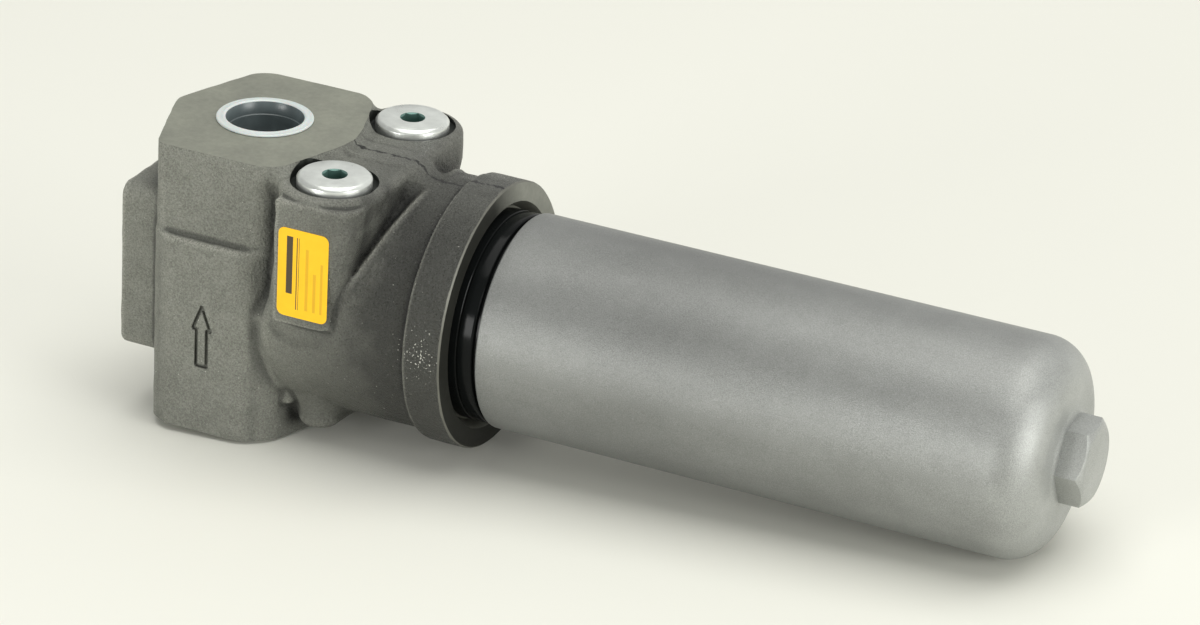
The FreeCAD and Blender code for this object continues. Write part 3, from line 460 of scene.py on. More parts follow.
class Nodes:
    """A short way to write a material's node tree."""

    def __init__(self, name: str) -> None:
        """Start an empty material.

        Args:
            name: The material's name.
        """
        self.material = bpy.data.materials.new(name)
        self.material.use_nodes = True
        self.tree = self.material.node_tree
        self.tree.nodes.clear()
        self.place = self.add("ShaderNodeTexCoord").outputs["Object"]

    def add(self, kind: str, **settings: object) -> bpy.types.Node:
        """Add a node and set its own settings.

        Args:
            kind: The node's type.
            **settings: Values for the node's own properties.

        Returns:
            The node.
        """
        node = self.tree.nodes.new(kind)
        for name, value in settings.items():
            setattr(node, name, value)
        return node

    def feed(self, socket: Socket, value: object) -> None:
        """Link a socket to another node's output, or set its value.

        Args:
            socket: The input.
            value: An output, a number, a vector or a colour.
        """
        if isinstance(value, Socket):
            self.tree.links.new(value, socket)
        elif isinstance(value, tuple) and len(value) == 3 and socket.type == "RGBA":
            socket.default_value = (*value, 1.0)
        else:
            socket.default_value = value

    def math(self, operation: str, first: object, second: object = 0.0, third: object = 0.0) -> Socket:
        """The result of a calculation on numbers.

        Args:
            operation: The calculation, as the math node names it.
            first: First number or output.
            second: Second number or output.
            third: Third number or output.

        Returns:
            The result's output.
        """
        node = self.add("ShaderNodeMath", operation=operation)
        for socket, value in zip(node.inputs, (first, second, third)):
            self.feed(socket, value)
        return node.outputs[0]

    def times(self, first: object, *others: object) -> Socket:
        """The product of numbers or outputs.

        Args:
            first: The first of them.
            *others: The others.

        Returns:
            The product's output.
        """
        for other in others:
            first = self.math("MULTIPLY", first, other)
        return first

    def split(self, vector: Socket) -> tuple[Socket, ...]:
        """The three coordinates of a vector.

        Args:
            vector: The vector's output.

        Returns:
            One output for each coordinate.
        """
        node = self.add("ShaderNodeSeparateXYZ")
        self.feed(node.inputs[0], vector)
        return tuple(node.outputs)

    def noise(self, scale: float, detail: float = 3.0, rough: float = 0.55, stretch: Colour | None = None) -> Socket:
        """Cloudy noise on object coordinates.

        Args:
            scale: Features to the metre.
            detail: How many finer layers it has.
            rough: How strong the finer layers are.
            stretch: Factors for the three coordinates.

        Returns:
            The noise, about nought to one.
        """
        node = self.add("ShaderNodeTexNoise")
        self.feed(node.inputs["Vector"], self.moved((0.0, 0.0, 0.0), stretch) if stretch else self.place)
        for name, number in (("Scale", scale), ("Detail", detail), ("Roughness", rough)):
            self.feed(node.inputs[name], number)
        return node.outputs["Fac"]

    def grains(self, scale: float) -> Socket:
        """Distance to the nearest of many scattered grains.

        Args:
            scale: Grains to the metre.

        Returns:
            The distance, in widths of a grain.
        """
        node = self.add("ShaderNodeTexVoronoi")
        self.feed(node.inputs["Vector"], self.place)
        self.feed(node.inputs["Scale"], scale)
        return node.outputs["Distance"]

    def moved(self, centre: Point, stretch: Colour | None = None) -> Socket:
        """Object coordinates counted from a centre, and stretched.

        Args:
            centre: The centre, in metres.
            stretch: Factors for the three coordinates.

        Returns:
            The coordinates.
        """
        node = self.add("ShaderNodeMapping", vector_type="POINT")
        scale = stretch or (1.0, 1.0, 1.0)
        self.feed(node.inputs["Vector"], self.place)
        self.feed(node.inputs["Scale"], scale)
        self.feed(node.inputs["Location"], tuple(-c * s for c, s in zip(centre, scale)))
        return node.outputs["Vector"]

    def away(self, centre: Point, stretch: Colour) -> Socket:
        """Distance from a centre, with the coordinates stretched.

        Args:
            centre: The centre, in metres.
            stretch: Factors for the three coordinates, nought along an axis that doesn't count.

        Returns:
            The distance, in metres.
        """
        node = self.add("ShaderNodeVectorMath", operation="LENGTH")
        self.feed(node.inputs[0], self.moved(centre, stretch))
        return node.outputs["Value"]

    def span(self, value: object, low: float, high: float, to_low: float = 0.0, to_high: float = 1.0) -> Socket:
        """A number moved from one range to another, held at its ends.

        Args:
            value: The number or output.
            low: Start of the range it comes from.
            high: End of that range.
            to_low: What the start becomes.
            to_high: What the end becomes.

        Returns:
            The moved number.
        """
        node = self.add("ShaderNodeMapRange", clamp=True)
        names = ("Value", "From Min", "From Max", "To Min", "To Max")
        for name, number in zip(names, (value, low, high, to_low, to_high)):
            self.feed(node.inputs[name], number)
        return node.outputs["Result"]

    def blend(self, share: object, first: object, second: object, kind: str = "MIX") -> Socket:
        """Two colours mixed by a share.

        Args:
            share: How much of the second colour there is.
            first: First colour.
            second: Second colour.
            kind: MIX, or MULTIPLY to darken the first by the second.

        Returns:
            The mixed colour.
        """
        node = self.add("ShaderNodeMix", data_type="RGBA", blend_type=kind)
        for number, value in ((0, share), (6, first), (7, second)):
            self.feed(node.inputs[number], value)
        return node.outputs[2]

    def darken(self, colour: object, share: Socket) -> Socket:
        """A colour darkened to a share of itself.

        Args:
            colour: The colour.
            share: The share, one where the colour stays.

        Returns:
            The darkened colour.
        """
        grey = self.add("ShaderNodeCombineColor")
        for socket in grey.inputs:
            self.feed(socket, share)
        return self.blend(1.0, colour, grey.outputs[0], "MULTIPLY")

    def attribute(self, name: str) -> Socket:
        """A number stored on the mesh."""
        node = self.add("ShaderNodeAttribute", attribute_name=name)
        return node.outputs["Fac"]

    def bump(self, height: object, strength: float, depth: float, under: Socket | None = None) -> Socket:
        """A bumped surface direction.

        Args:
            height: The relief, about nought to one.
            strength: How much of it is used.
            depth: How deep it is, in metres.
            under: A surface direction that is already bumped.

        Returns:
            The direction.
        """
        node = self.add("ShaderNodeBump")
        for name, value in (("Strength", strength), ("Distance", depth), ("Height", height)):
            self.feed(node.inputs[name], value)
        if under is not None:
            self.feed(node.inputs["Normal"], under)
        return node.outputs["Normal"]

    def finish(self, **inputs: object) -> Material:
        """Put the plain surface shader at the end.

        Args:
            **inputs: Values or outputs for the shader's inputs, underscores standing for spaces.

        Returns:
            The finished material.
        """
        shader = self.add("ShaderNodeBsdfPrincipled")
        for name, value in inputs.items():
            self.feed(shader.inputs[name.replace("_", " ")], value)
        output = self.add("ShaderNodeOutputMaterial")
        self.tree.links.new(shader.outputs["BSDF"], output.inputs["Surface"])
        return self.material


@dataclass(frozen=True)
class CastIron:
    """Phosphated cast skin: sandy grey with an olive cast, darkened by oiling on the neck, paler on convex edges from
    wear and painted highlight, with painted shade in hollows, creases and towards the floor, a painted highlight along
    the sleeve's crest and painted glints.
    """

    name: str = "cast_iron_skin"
    dark: Colour = (0.134, 0.137, 0.116)
    pale: Colour = (0.304, 0.312, 0.271)
    # Paler colour of convex edges, and half of it on the sleeve's crest: partly wear, partly painted highlight.
    wear_and_highlight: Colour = (0.44, 0.44, 0.385)
    oiled: float = 0.38
    oil_start: float = 0.058
    oil_end: float = 0.098
    grain: float = 1600.0
    crease: float = 0.1241
    seam_start: float = 0.077
    seam_low: float = 0.044
    # Colour of the painted glints, and the centre they crowd round.
    glint_colour: Colour = (0.62, 0.62, 0.56)
    glint_centre: Point = (0.131, -0.0497, 0.002)

    def material(self) -> Material:
        """Build the material.

        Returns:
            The finished material.
        """
        n = Nodes(self.name)
        x, y, z = n.split(n.place)
        sand = n.noise(self.grain, 3.0, 0.75)
        cloud = n.noise(95.0, 4.0, 0.6)
        tone = n.math("MULTIPLY_ADD", sand, 1.0, n.times(cloud, 0.22))
        skin = n.blend(n.span(tone, 0.42, 0.80), self.dark, self.pale)
        # Convex edges turn paler: partly wear, partly painted highlight.
        edge = n.span(n.attribute("edge"), 0.06, 0.55, 0.0, 0.60)
        skin = n.blend(n.times(edge, n.span(sand, 0.35, 0.6)), skin, self.wear_and_highlight)
        drift = n.math("MULTIPLY_ADD", n.math("SUBTRACT", cloud, 0.5), 0.03, x)
        oil_and_painted_shade = n.span(n.math("ADD", drift, n.span(z, -0.025, 0.050, -0.0020, -0.0125)), self.oil_start, self.oil_end)
        # Oiling and painted shade darken the skin; convex edges are held out of it as a painted highlight.
        shade = n.math("MAXIMUM", self.oil_and_hollow_shade(n, drift, oil_and_painted_shade, x, y), n.times(edge, 0.8))
        # Painted shade along the crease in front of the collar.
        shade = n.times(shade, self.sleeve_crease_shade(n, x))
        # Painted shade beside the parting line.
        shade = n.times(shade, n.math("MULTIPLY_ADD", self.parting_line_shade(n, x, y, z), -0.90, 1.0))
        # Painted shade: darker towards the floor.
        shade = n.times(shade, n.span(z, -0.056, -0.010, 0.86, 1.0))
        skin = n.darken(skin, shade)
        # Painted highlight along the sleeve's crest.
        crest = n.times(n.attribute("crest"), n.span(sand, 0.38, 0.60, 0.15, 0.75))
        skin = n.blend(crest, skin, tuple(c * 0.5 for c in self.wear_and_highlight))
        # Painted glints.
        skin = n.blend(self.painted_glints(n), skin, self.glint_colour)
        glint = n.times(n.span(n.noise(1500.0, 2.0, 0.5), 0.56, 0.66), n.span(oil_and_painted_shade, 0.0, 1.0, 0.4, 1.0))
        rough = n.math("MULTIPLY_ADD", glint, -0.26, n.span(oil_and_painted_shade, 0.0, 1.0, 0.60, 0.42))
        pitted = n.math("MULTIPLY_ADD", n.grains(900.0), 0.5, sand)
        normal = n.bump(n.noise(520.0, 3.0), 0.6, 0.0010, n.bump(pitted, 1.0, 0.00070))
        return n.finish(Base_Color=skin, Roughness=rough, Normal=normal, Metallic=0.15)

    def oil_and_hollow_shade(self, n: Nodes, drift: Socket, oil_and_painted_shade: Socket, x: Socket, y: Socket) -> Socket:
        """How dark oily places make the skin, with painted shade in sheltered places and creases.

        Args:
            n: The node tree that it is added to.
            drift: The place along the part, pushed about by the clouds.
            oil_and_painted_shade: One where the skin is fully oiled.
            x: The place along the part.
            y: The place across the part.

        Returns:
            A share of the skin's own colour.
        """
        # Painted shade: darker where nearby forms shelter the skin and in concave creases.
        closed = n.span(n.attribute("open"), 0.25, 0.80, 0.30, 1.0)
        closed = n.times(closed, n.span(n.attribute("edge"), -0.42, -0.05, 0.46, 1.0))
        soaked = n.times(n.span(drift, 0.102, 0.113), n.span(y, -0.030, -0.008, 0.58, 0.15))
        soaked = n.times(n.math("SUBTRACT", 1.0, soaked), n.span(x, 0.1240, 0.1250, 1.0, 1.25))
        return n.times(n.span(oil_and_painted_shade, 0.0, 1.0, 1.0, self.oiled), soaked, closed)

    def sleeve_crease_shade(self, n: Nodes, x: Socket) -> Socket:
        """Painted shade along the slightly wavy crease where the sleeve meets the collar.

        Args:
            n: The node tree that it is added to.
            x: The place along the part.

        Returns:
            A share of the skin's own colour.
        """
        wavy = n.math("MULTIPLY_ADD", n.math("SUBTRACT", n.noise(200.0, 2.0), 0.5), 0.0016, x)
        before = n.span(wavy, self.crease - 0.0024, self.crease, 1.0, 0.22)
        behind = n.span(wavy, self.crease + 0.0002, self.crease + 0.0010)
        return n.math("MAXIMUM", before, behind)

    def painted_glints(self, n: Nodes) -> Socket:
        """Painted glints: the few bright specks that stand in for highlights in the skin, crowding round one spot on
        the collar.

        Args:
            n: The node tree that it is added to.

        Returns:
            One on a spark and nought beside it.
        """
        away = n.add("ShaderNodeVectorMath", operation="DISTANCE")
        n.feed(away.inputs[0], n.place)
        n.feed(away.inputs[1], self.glint_centre)
        near = n.span(away.outputs["Value"], 0.002, 0.015, 1.0, 0.0)
        return n.span(n.math("MULTIPLY_ADD", near, 0.15, n.noise(1250.0, 1.0)), 0.775, 0.815)

    def parting_line_shade(self, n: Nodes, x: Socket, y: Socket, z: Socket) -> Socket:
        """Painted shade beside the ragged flash that the mould's parting left along the top, broken here and there.

        Args:
            n: The node tree that it is added to.
            x: The place along the part.
            y: The place across the part.
            z: The height.

        Returns:
            One on the line and nought beside it.
        """
        ragged = n.math("MULTIPLY_ADD", n.math("SUBTRACT", n.noise(420.0, 2.0), 0.5), 0.004, y)
        line = n.span(n.math("ABSOLUTE", ragged), 0.00032, 0.00085, 1.0, 0.0)
        broken = n.span(n.noise(170.0, 1.0), 0.28, 0.36)
        top = n.times(n.math("GREATER_THAN", z, self.seam_low), n.math("GREATER_THAN", x, self.seam_start))
        return n.times(line, broken, top)


@dataclass(frozen=True)
class MachinedIron:
    """Milled or turned iron under the same phosphate: smoother, paler, with fine lay lines round a centre."""

    name: str
    colour: Colour = (0.275, 0.283, 0.23)
    centre: Point = (0.041, 0.0, 0.0)
    flat: Colour = (1.0, 1.0, 0.0)
    lines: float = 1900.0
    # Share that the colour falls to on the lower near side, one for none: painted shade where the bowl shadows the
    # face, partly an oily film.
    oil_and_painted_shade: float = 1.0
    specular: float = 0.5
    metallic: float = 0.35

    def material(self) -> Material:
        """Build the material.

        Returns:
            The finished material.
        """
        n = Nodes(self.name)
        lay = n.math("SINE", n.times(n.away(self.centre, self.flat), self.lines * math.pi))
        cloud = n.noise(60.0, 5.0, 0.6)
        tone = n.math("MULTIPLY_ADD", n.noise(420.0, 3.0, 0.6), 0.4, n.times(cloud, 0.7))
        colour = n.blend(n.span(tone, 0.40, 0.70), tuple(c * 0.74 for c in self.colour), self.colour)
        # Darker on the lower near side: painted shade, partly an oily film.
        if self.oil_and_painted_shade < 1.0:
            _, y, z = n.split(n.place)
            colour = n.darken(colour, n.span(n.math("MULTIPLY_ADD", z, 0.25, y), 0.002, 0.026, self.oil_and_painted_shade, 1.0))
        rough = n.span(cloud, 0.3, 0.7, 0.42, 0.54)
        normal = n.bump(n.math("MULTIPLY_ADD", n.noise(1800.0, 2.0), 1.2, n.times(lay, 0.25)), 0.25, 0.00008)
        return n.finish(
            Base_Color=colour, Roughness=rough, Normal=normal, Metallic=self.metallic, Specular_IOR_Level=self.specular
        )


@dataclass(frozen=True)
class BlastedSteel:
    """Sand-blasted steel with a thin grey phosphate, satin, faintly blotchy, with painted light that makes it paler
    towards its closed end.
    """

    name: str = "blasted_bowl_steel"
    dark: Colour = (0.172, 0.177, 0.169)
    pale: Colour = (0.272, 0.279, 0.269)
    fleck: Colour = (0.10, 0.10, 0.09)

    def material(self) -> Material:
        """Build the material.

        Returns:
            The finished material.
        """
        n = Nodes(self.name)
        x = n.split(n.place)[0]
        sand = n.noise(2600.0, 2.0, 0.7)
        cloud = n.noise(38.0, 5.0, 0.62)
        drawn = n.noise(60.0, 3.0, 0.5, (0.22, 1.0, 1.0))
        tone = n.math("MULTIPLY_ADD", sand, 0.62, n.math("MULTIPLY_ADD", cloud, 0.18, n.times(drawn, 0.16)))
        colour = n.blend(n.span(tone, 0.36, 0.60), self.dark, self.pale)
        # Painted light along the bowl: a little darker past the collar, then paler towards the closed end and paler
        # again on the end itself.
        along = n.times(n.span(x, 0.15, 0.21, 1.04, 0.93), n.span(x, 0.22, 0.36, 1.0, 1.42))
        blotches = n.span(n.noise(110.0, 4.0, 0.65), 0.30, 0.70, 0.955, 1.04)
        colour = n.darken(colour, n.times(along, blotches, n.span(x, 0.338, 0.362, 1.0, 1.30)))
        speck = n.span(n.grains(170.0), 0.0, 0.045, 1.0, 0.0)
        colour = n.blend(n.times(speck, 0.35), colour, self.fleck)
        normal = n.bump(n.noise(240.0, 3.0), 0.22, 0.0002, n.bump(sand, 0.65, 0.00020))
        rough = n.span(cloud, 0.3, 0.7, 0.38, 0.46)
        return n.finish(Base_Color=colour, Roughness=rough, Normal=normal, Metallic=0.5, Specular_IOR_Level=0.4)


@dataclass(frozen=True)
class ZincPlate:
    """Bright zinc plate over a turned steel face, with rings round the turning axis."""

    name: str
    centre: Point
    colour: Colour = (0.82, 0.85, 0.81)
    rough: tuple[float, float] = (0.27, 0.37)
    metallic: float = 0.74

    def material(self) -> Material:
        """Build the material.

        Returns:
            The finished material.
        """
        n = Nodes(self.name)
        rings = n.math("SINE", n.times(n.away(self.centre, (1.0, 1.0, 0.0)), 11000.0))
        cloud = n.noise(190.0, 4.0, 0.6)
        colour = n.blend(n.span(cloud, 0.35, 0.7), tuple(c * 0.86 for c in self.colour), self.colour)
        normal = n.bump(n.math("MULTIPLY_ADD", n.noise(1500.0, 2.0), 0.8, n.times(rings, 0.3)), 0.25, 0.00006)
        rough = n.span(cloud, 0.3, 0.7, *self.rough)
        return n.finish(Base_Color=colour, Roughness=rough, Normal=normal, Metallic=self.metallic)


@dataclass(frozen=True)
class PlainFinish:
    """A finish with a tone that drifts a little and a fine surface, for the simpler pieces."""

    name: str
    colour: Colour
    roughness: float
    metallic: float = 0.0
    drift: float = 0.12
    grain: float = 900.0
    depth: float = 0.00005
    specular: float = 0.5
    subsurface: float = 0.0

    def material(self) -> Material:
        """Build the material.

        Returns:
            The finished material.
        """
        n = Nodes(self.name)
        cloud = n.noise(120.0, 4.0)
        colour = n.blend(n.span(cloud, 0.35, 0.7), tuple(c * (1.0 - self.drift) for c in self.colour), self.colour)
        rough = n.span(cloud, 0.3, 0.7, self.roughness * 0.9, min(self.roughness * 1.12, 1.0))
        normal = n.bump(n.noise(self.grain, 3.0), 0.3, self.depth)
        return n.finish(
            Base_Color=colour, Roughness=rough, Normal=normal, Metallic=self.metallic,
            Specular_IOR_Level=self.specular, Subsurface_Weight=self.subsurface, Subsurface_Scale=0.004,
        )


def dress(piece: Piece, *materials: Material) -> None:
    """Give a piece its materials and keep its face numbers, which clearing would set back to nought.

    Args:
        piece: The piece.
        *materials: Its materials, in the order of its face numbers.
    """
    numbers = np.zeros(len(piece.data.polygons), np.int32)
    piece.data.polygons.foreach_get("material_index", numbers)
    piece.data.materials.clear()
    for material in materials:
        piece.data.materials.append(material)
    piece.data.polygons.foreach_set("material_index", np.minimum(numbers, len(materials) - 1))


def keep(piece: Piece, body: str, slot: str, *nodes: str) -> None:
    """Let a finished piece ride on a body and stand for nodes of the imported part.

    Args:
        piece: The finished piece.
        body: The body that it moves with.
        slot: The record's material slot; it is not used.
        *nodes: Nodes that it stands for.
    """
    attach(piece, body)
    if nodes:
        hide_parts(*nodes)
    LOG.info("%s: %d faces", piece.name, len(piece.data.polygons))


# Threads, drawn along a spiral by geometry nodes


@dataclass(frozen=True)
class ThreadSize:
    """One thread's sizes in millimetres: root radius, rise of a turn, number of turns and height of the ridge."""

    radius: float
    pitch: float
    turns: float
    depth: float


PORT_THREAD = ThreadSize(16.32, 2.309, 8.2, 1.15)
MOUNTING_THREAD = ThreadSize(4.95, 1.5, 8.8, 0.74)
BOWL_THREAD = ThreadSize(36.08, 2.0, 8.6, 0.96)
PLUG_THREAD = ThreadSize(8.4, 1.5, 6.0, 0.7)


class ThreadRidge:
    """A geometry node tree that lays a V-shaped ridge along a right-hand spiral, like a screw thread."""

    def __init__(self) -> None:
        """Build the tree with its named inputs."""
        self.tree = bpy.data.node_groups.new("thread_ridge", "GeometryNodeTree")
        face = self.tree.interface
        face.new_socket("Geometry", in_out="OUTPUT", socket_type="NodeSocketGeometry")
        self.sockets: dict[str, str] = {}
        for name, kind, value in (
            ("Radius", "NodeSocketFloat", 0.01),
            ("Pitch", "NodeSocketFloat", 0.002),
            ("Turns", "NodeSocketFloat", 5.0),
            ("Depth", "NodeSocketFloat", 0.001),
            ("Steps", "NodeSocketInt", 48),
            ("Finish", "NodeSocketMaterial", None),
        ):
            socket = face.new_socket(name, in_out="INPUT", socket_type=kind)
            if value is not None:
                socket.default_value = value
            self.sockets[name] = socket.identifier
        nodes, links = self.tree.nodes, self.tree.links
        given = nodes.new("NodeGroupInput")
        result = nodes.new("NodeGroupOutput")
        spiral = nodes.new("GeometryNodeCurveSpiral")
        height = nodes.new("ShaderNodeMath")
        height.operation = "MULTIPLY"
        links.new(given.outputs["Pitch"], height.inputs[0])
        links.new(given.outputs["Turns"], height.inputs[1])
        for name in ("Start Radius", "End Radius"):
            links.new(given.outputs["Radius"], spiral.inputs[name])
        links.new(height.outputs[0], spiral.inputs["Height"])
        links.new(given.outputs["Turns"], spiral.inputs["Rotations"])
        links.new(given.outputs["Steps"], spiral.inputs["Resolution"])
        spiral.inputs["Reverse"].default_value = True
        upright = nodes.new("GeometryNodeSetCurveNormal")
        upright.mode = "Z_UP"
        links.new(spiral.outputs[0], upright.inputs["Curve"])
        section = nodes.new("GeometryNodeCurvePrimitiveCircle")
        section.inputs["Resolution"].default_value = 4
        links.new(given.outputs["Depth"], section.inputs["Radius"])
        sweep = nodes.new("GeometryNodeCurveToMesh")
        sweep.inputs["Fill Caps"].default_value = True
        links.new(upright.outputs[0], sweep.inputs["Curve"])
        links.new(section.outputs["Curve"], sweep.inputs["Profile Curve"])
        real = nodes.new("GeometryNodeRealizeInstances")
        links.new(sweep.outputs[0], real.inputs[0])
        finish = nodes.new("GeometryNodeSetMaterial")
        links.new(real.outputs[0], finish.inputs["Geometry"])
        links.new(given.outputs["Finish"], finish.inputs["Material"])
        links.new(finish.outputs[0], result.inputs[0])

    def lay(self, name: str, size: ThreadSize, finish: Material, foot: Point, axis: Axis = Axis.Z) -> Piece:
        """Make one thread.

        Args:
            name: The piece's name.
            size: The thread's sizes.
            finish: The material.
            foot: The spiral's foot, in millimetres.
            axis: The row axis that it climbs along.

        Returns:
            The plain mesh piece.
        """
        piece = mesh_object(name, np.zeros((0, 3)), [])
        modifier = piece.modifiers.new("thread", "NODES")
        modifier.node_group = self.tree
        values = {
            "Radius": size.radius * MM,
            "Pitch": size.pitch * MM,
            "Turns": size.turns,
            "Depth": size.depth * MM,
            "Steps": 40,
            "Finish": finish,
        }
        for label, value in values.items():
            modifier[self.sockets[label]] = value
        settle(piece)
        turn = Matrix.Rotation(math.pi / 2.0, 4, "Y") if axis is Axis.X else Matrix.Identity(4)
        piece.data.transform(Matrix.Translation(Vector(foot) * MM) @ turn)
        smooth_over(piece, 40.0)
        return piece


# The head


@dataclass
class HeadCasting:
    """The cast head: port block, mounting pad, plug deck, neck and collar, with its machined faces and bores."""

    threader: ThreadRidge
    port_axis: float = 41.0
    port_face: float = 55.0
    port_bore: float = 16.62
    port_mouth: float = 17.3
    cavity: float = 14.0
    outlet_floor: float = -10.0
    inlet_roof: float = 18.5
    allowance: float = 3.0
    ridge_back: float = 4.1
    ridge_front: float = 78.4
    ridge_soft: float = 2.6
    ridge_bulge: float = 1.4
    bulge_soft: float = 5.4
    bulge_low: float = 44.0
    bulge_high: float = 51.0
    taper: float = 0.36
    upper_half: float = 39.8
    lower_half: float = 42.8
    ledge: float = 21.0
    ledge_round: float = 1.7
    ledge_fillet: float = 1.6
    ledge_fade: tuple[float, float] = (52.0, 66.0)
    block_corner: float = 7.0
    crisp_corner: float = 3.5
    pad_half_width: float = 33.0
    pad_half_height: float = 32.6
    pad_drop: float = 0.6
    pad_edge: float = 5.0
    pad_face_edge: float = 1.5
    pad_fillet: float = 1.8
    deck_near: float = 66.0
    deck_end: float = 105.0
    deck_lean: float = 0.20
    deck_lean_start: float = 40.0
    deck_half: float = 49.5
    deck_level: float = 52.0
    deck_edge: float = 3.2
    deck_foot: float = 1.0
    deck_foot_round: float = 7.0
    deck_low: float = -25.0
    boss_radius: float = 19.0
    neck_radius: float = 45.0
    neck_dip: float = 1.8
    dip_heights: tuple[float, float] = (14.0, 26.0)
    neck_start: float = 66.4
    neck_belly: float = 3.6
    neck_round: float = 5.0
    sleeve_radius: float = 47.1
    sleeve_crest: float = 48.0
    crest_heights: tuple[float, float] = (6.0, 16.0)
    crest_width: float = 3.4
    sleeve_top: float = 112.3
    sleeve_slant: float = 0.466
    sleeve_leg: tuple[float, float] = (2.0, 5.4)
    leg_heights: tuple[float, float] = (31.0, 44.0)
    cone_heights: tuple[float, float] = (22.0, 8.0)
    cone_length: float = 18.0
    crown_half: float = 14.0
    crown_heights: tuple[float, float] = (38.0, 42.0)
    collar_radius: float = 49.85
    collar_start: float = 124.6
    collar_edge: float = 1.1
    collar_face: float = 139.5
    foot_place: float = 79.8
    foot_reach: float = 23.4
    foot_half: float = 8.2
    foot_level: float = -48.5
    foot_edge: float = 3.6
    nub_place: float = 68.6
    nub_spread: float = 28.6
    nub_radius: float = 3.6
    nub_level: float = -41.2
    nub_edge: float = 2.6
    label_field: tuple[float, float, float, float] = (72.6, 103.4, 1.5, 49.4)
    label_depth: float = 50.2
    label_round: float = 8.6
    plug_place: float = 86.0
    plug_spread: float = 30.5
    seat_level: float = 49.7
    seat_radius: float = 15.6
    plug_bore: float = 9.19
    arrow_half: float = 0.72
    arrow_overrun: float = 0.3
    grid: float = 1.03
    grid_start: Point = (-3.46, -53.78, -60.54)
    grid_end: Point = (145.0, 53.5, 60.5)
    bend_reach: float = 1.3
    open_reach: tuple[float, ...] = (2.5, 5.0, 10.0, 16.0)
    seed: int = 7
    ripple_count: int = 14
    ripples: list[tuple[np.ndarray, float, float]] = field(default_factory=list)

    def __post_init__(self) -> None:
        """Choose the slow ripples that make the cast surface slightly uneven."""
        chance = np.random.default_rng(self.seed)
        for _ in range(self.ripple_count):
            way = chance.normal(size=3)
            way *= 2.0 * math.pi / (np.linalg.norm(way) * chance.uniform(5.0, 15.0))
            self.ripples.append((way, float(chance.uniform(0.0, 6.28)), float(chance.uniform(0.012, 0.03))))

    def plan(
        self, x: np.ndarray, y: np.ndarray, z: np.ndarray, half: float | np.ndarray, near_back: float
    ) -> np.ndarray:
        """The port block's long hexagon in plan, with soft ridges fore and aft.

        Args:
            x: Places along the part, in millimetres.
            y: Places across it.
            z: Heights.
            half: Half of its width.
            near_back: Round of its near corner beside the pad.

        Returns:
            Distances to the form's skin, negative inside.
        """
        top = ramp(z, self.bulge_low, self.bulge_high)
        length = math.hypot(1.0, self.taper)
        back = (self.ridge_back - x + self.taper * np.sqrt(y * y + self.ridge_soft**2)) / length
        soft = np.sqrt(y * y + (self.ridge_soft + self.bulge_soft * top) ** 2)
        front = (x - self.ridge_front - self.ridge_bulge * top + self.taper * soft) / length
        corner = np.where((x < self.port_axis) & (y < 0.0), near_back, self.block_corner)
        return round_meet(np.maximum(back, front), np.abs(y) - half, corner)

    def block(self, x: np.ndarray, y: np.ndarray, z: np.ndarray) -> np.ndarray:
        """The port block with its ledge, and the mounting pad behind it.

        Args:
            x: Places along the part, in millimetres.
            y: Places across it.
            z: Heights.

        Returns:
            Distances to the form's skin, negative inside.
        """
        tall = self.port_face + self.allowance
        upper = np.maximum(self.plan(x, y, z, self.upper_half, self.crisp_corner), np.abs(z) - tall)
        half = self.lower_half - (self.lower_half - self.upper_half) * ease(ramp(x, *self.ledge_fade))
        lower = round_meet(self.plan(x, y, z, half, self.block_corner), z - self.ledge, self.ledge_round)
        lower = np.maximum(lower, -z - tall)
        across, up = np.abs(y) - self.pad_half_width, np.abs(z + self.pad_drop) - self.pad_half_height
        pad = round_meet(across, up, self.pad_edge)
        pad = round_meet(pad, np.maximum(-x, x - self.port_axis), self.pad_face_edge)
        return fillet_join(fillet_join(upper, lower, self.ledge_fillet), pad, self.pad_fillet)

    def lean(self, z: np.ndarray) -> np.ndarray:
        """How far the deck's end lies back at a height."""
        return self.deck_lean * np.clip(self.deck_lean_start - z, 0.0, 30.0)

    def deck(self, x: np.ndarray, y: np.ndarray, z: np.ndarray) -> np.ndarray:
        """The plug deck: round bosses about the plugs, on feet that lean in by 45 degrees.

        Args:
            x: Places along the part, in millimetres.
            y: Places across it.
            z: Heights.

        Returns:
            Distances to the form's skin, negative inside.
        """
        across = np.abs(y)
        ends = np.maximum(self.deck_near - x, x + self.lean(z) - self.deck_end)
        outline = round_meet(ends, across - self.deck_half, self.boss_radius)
        foot = (across - self.deck_half - (z - self.deck_foot)) / math.sqrt(2.0)
        outline = np.maximum(round_meet(outline, foot, self.deck_foot_round), self.deck_low - z)
        return round_meet(outline, z - self.deck_level, self.deck_edge)

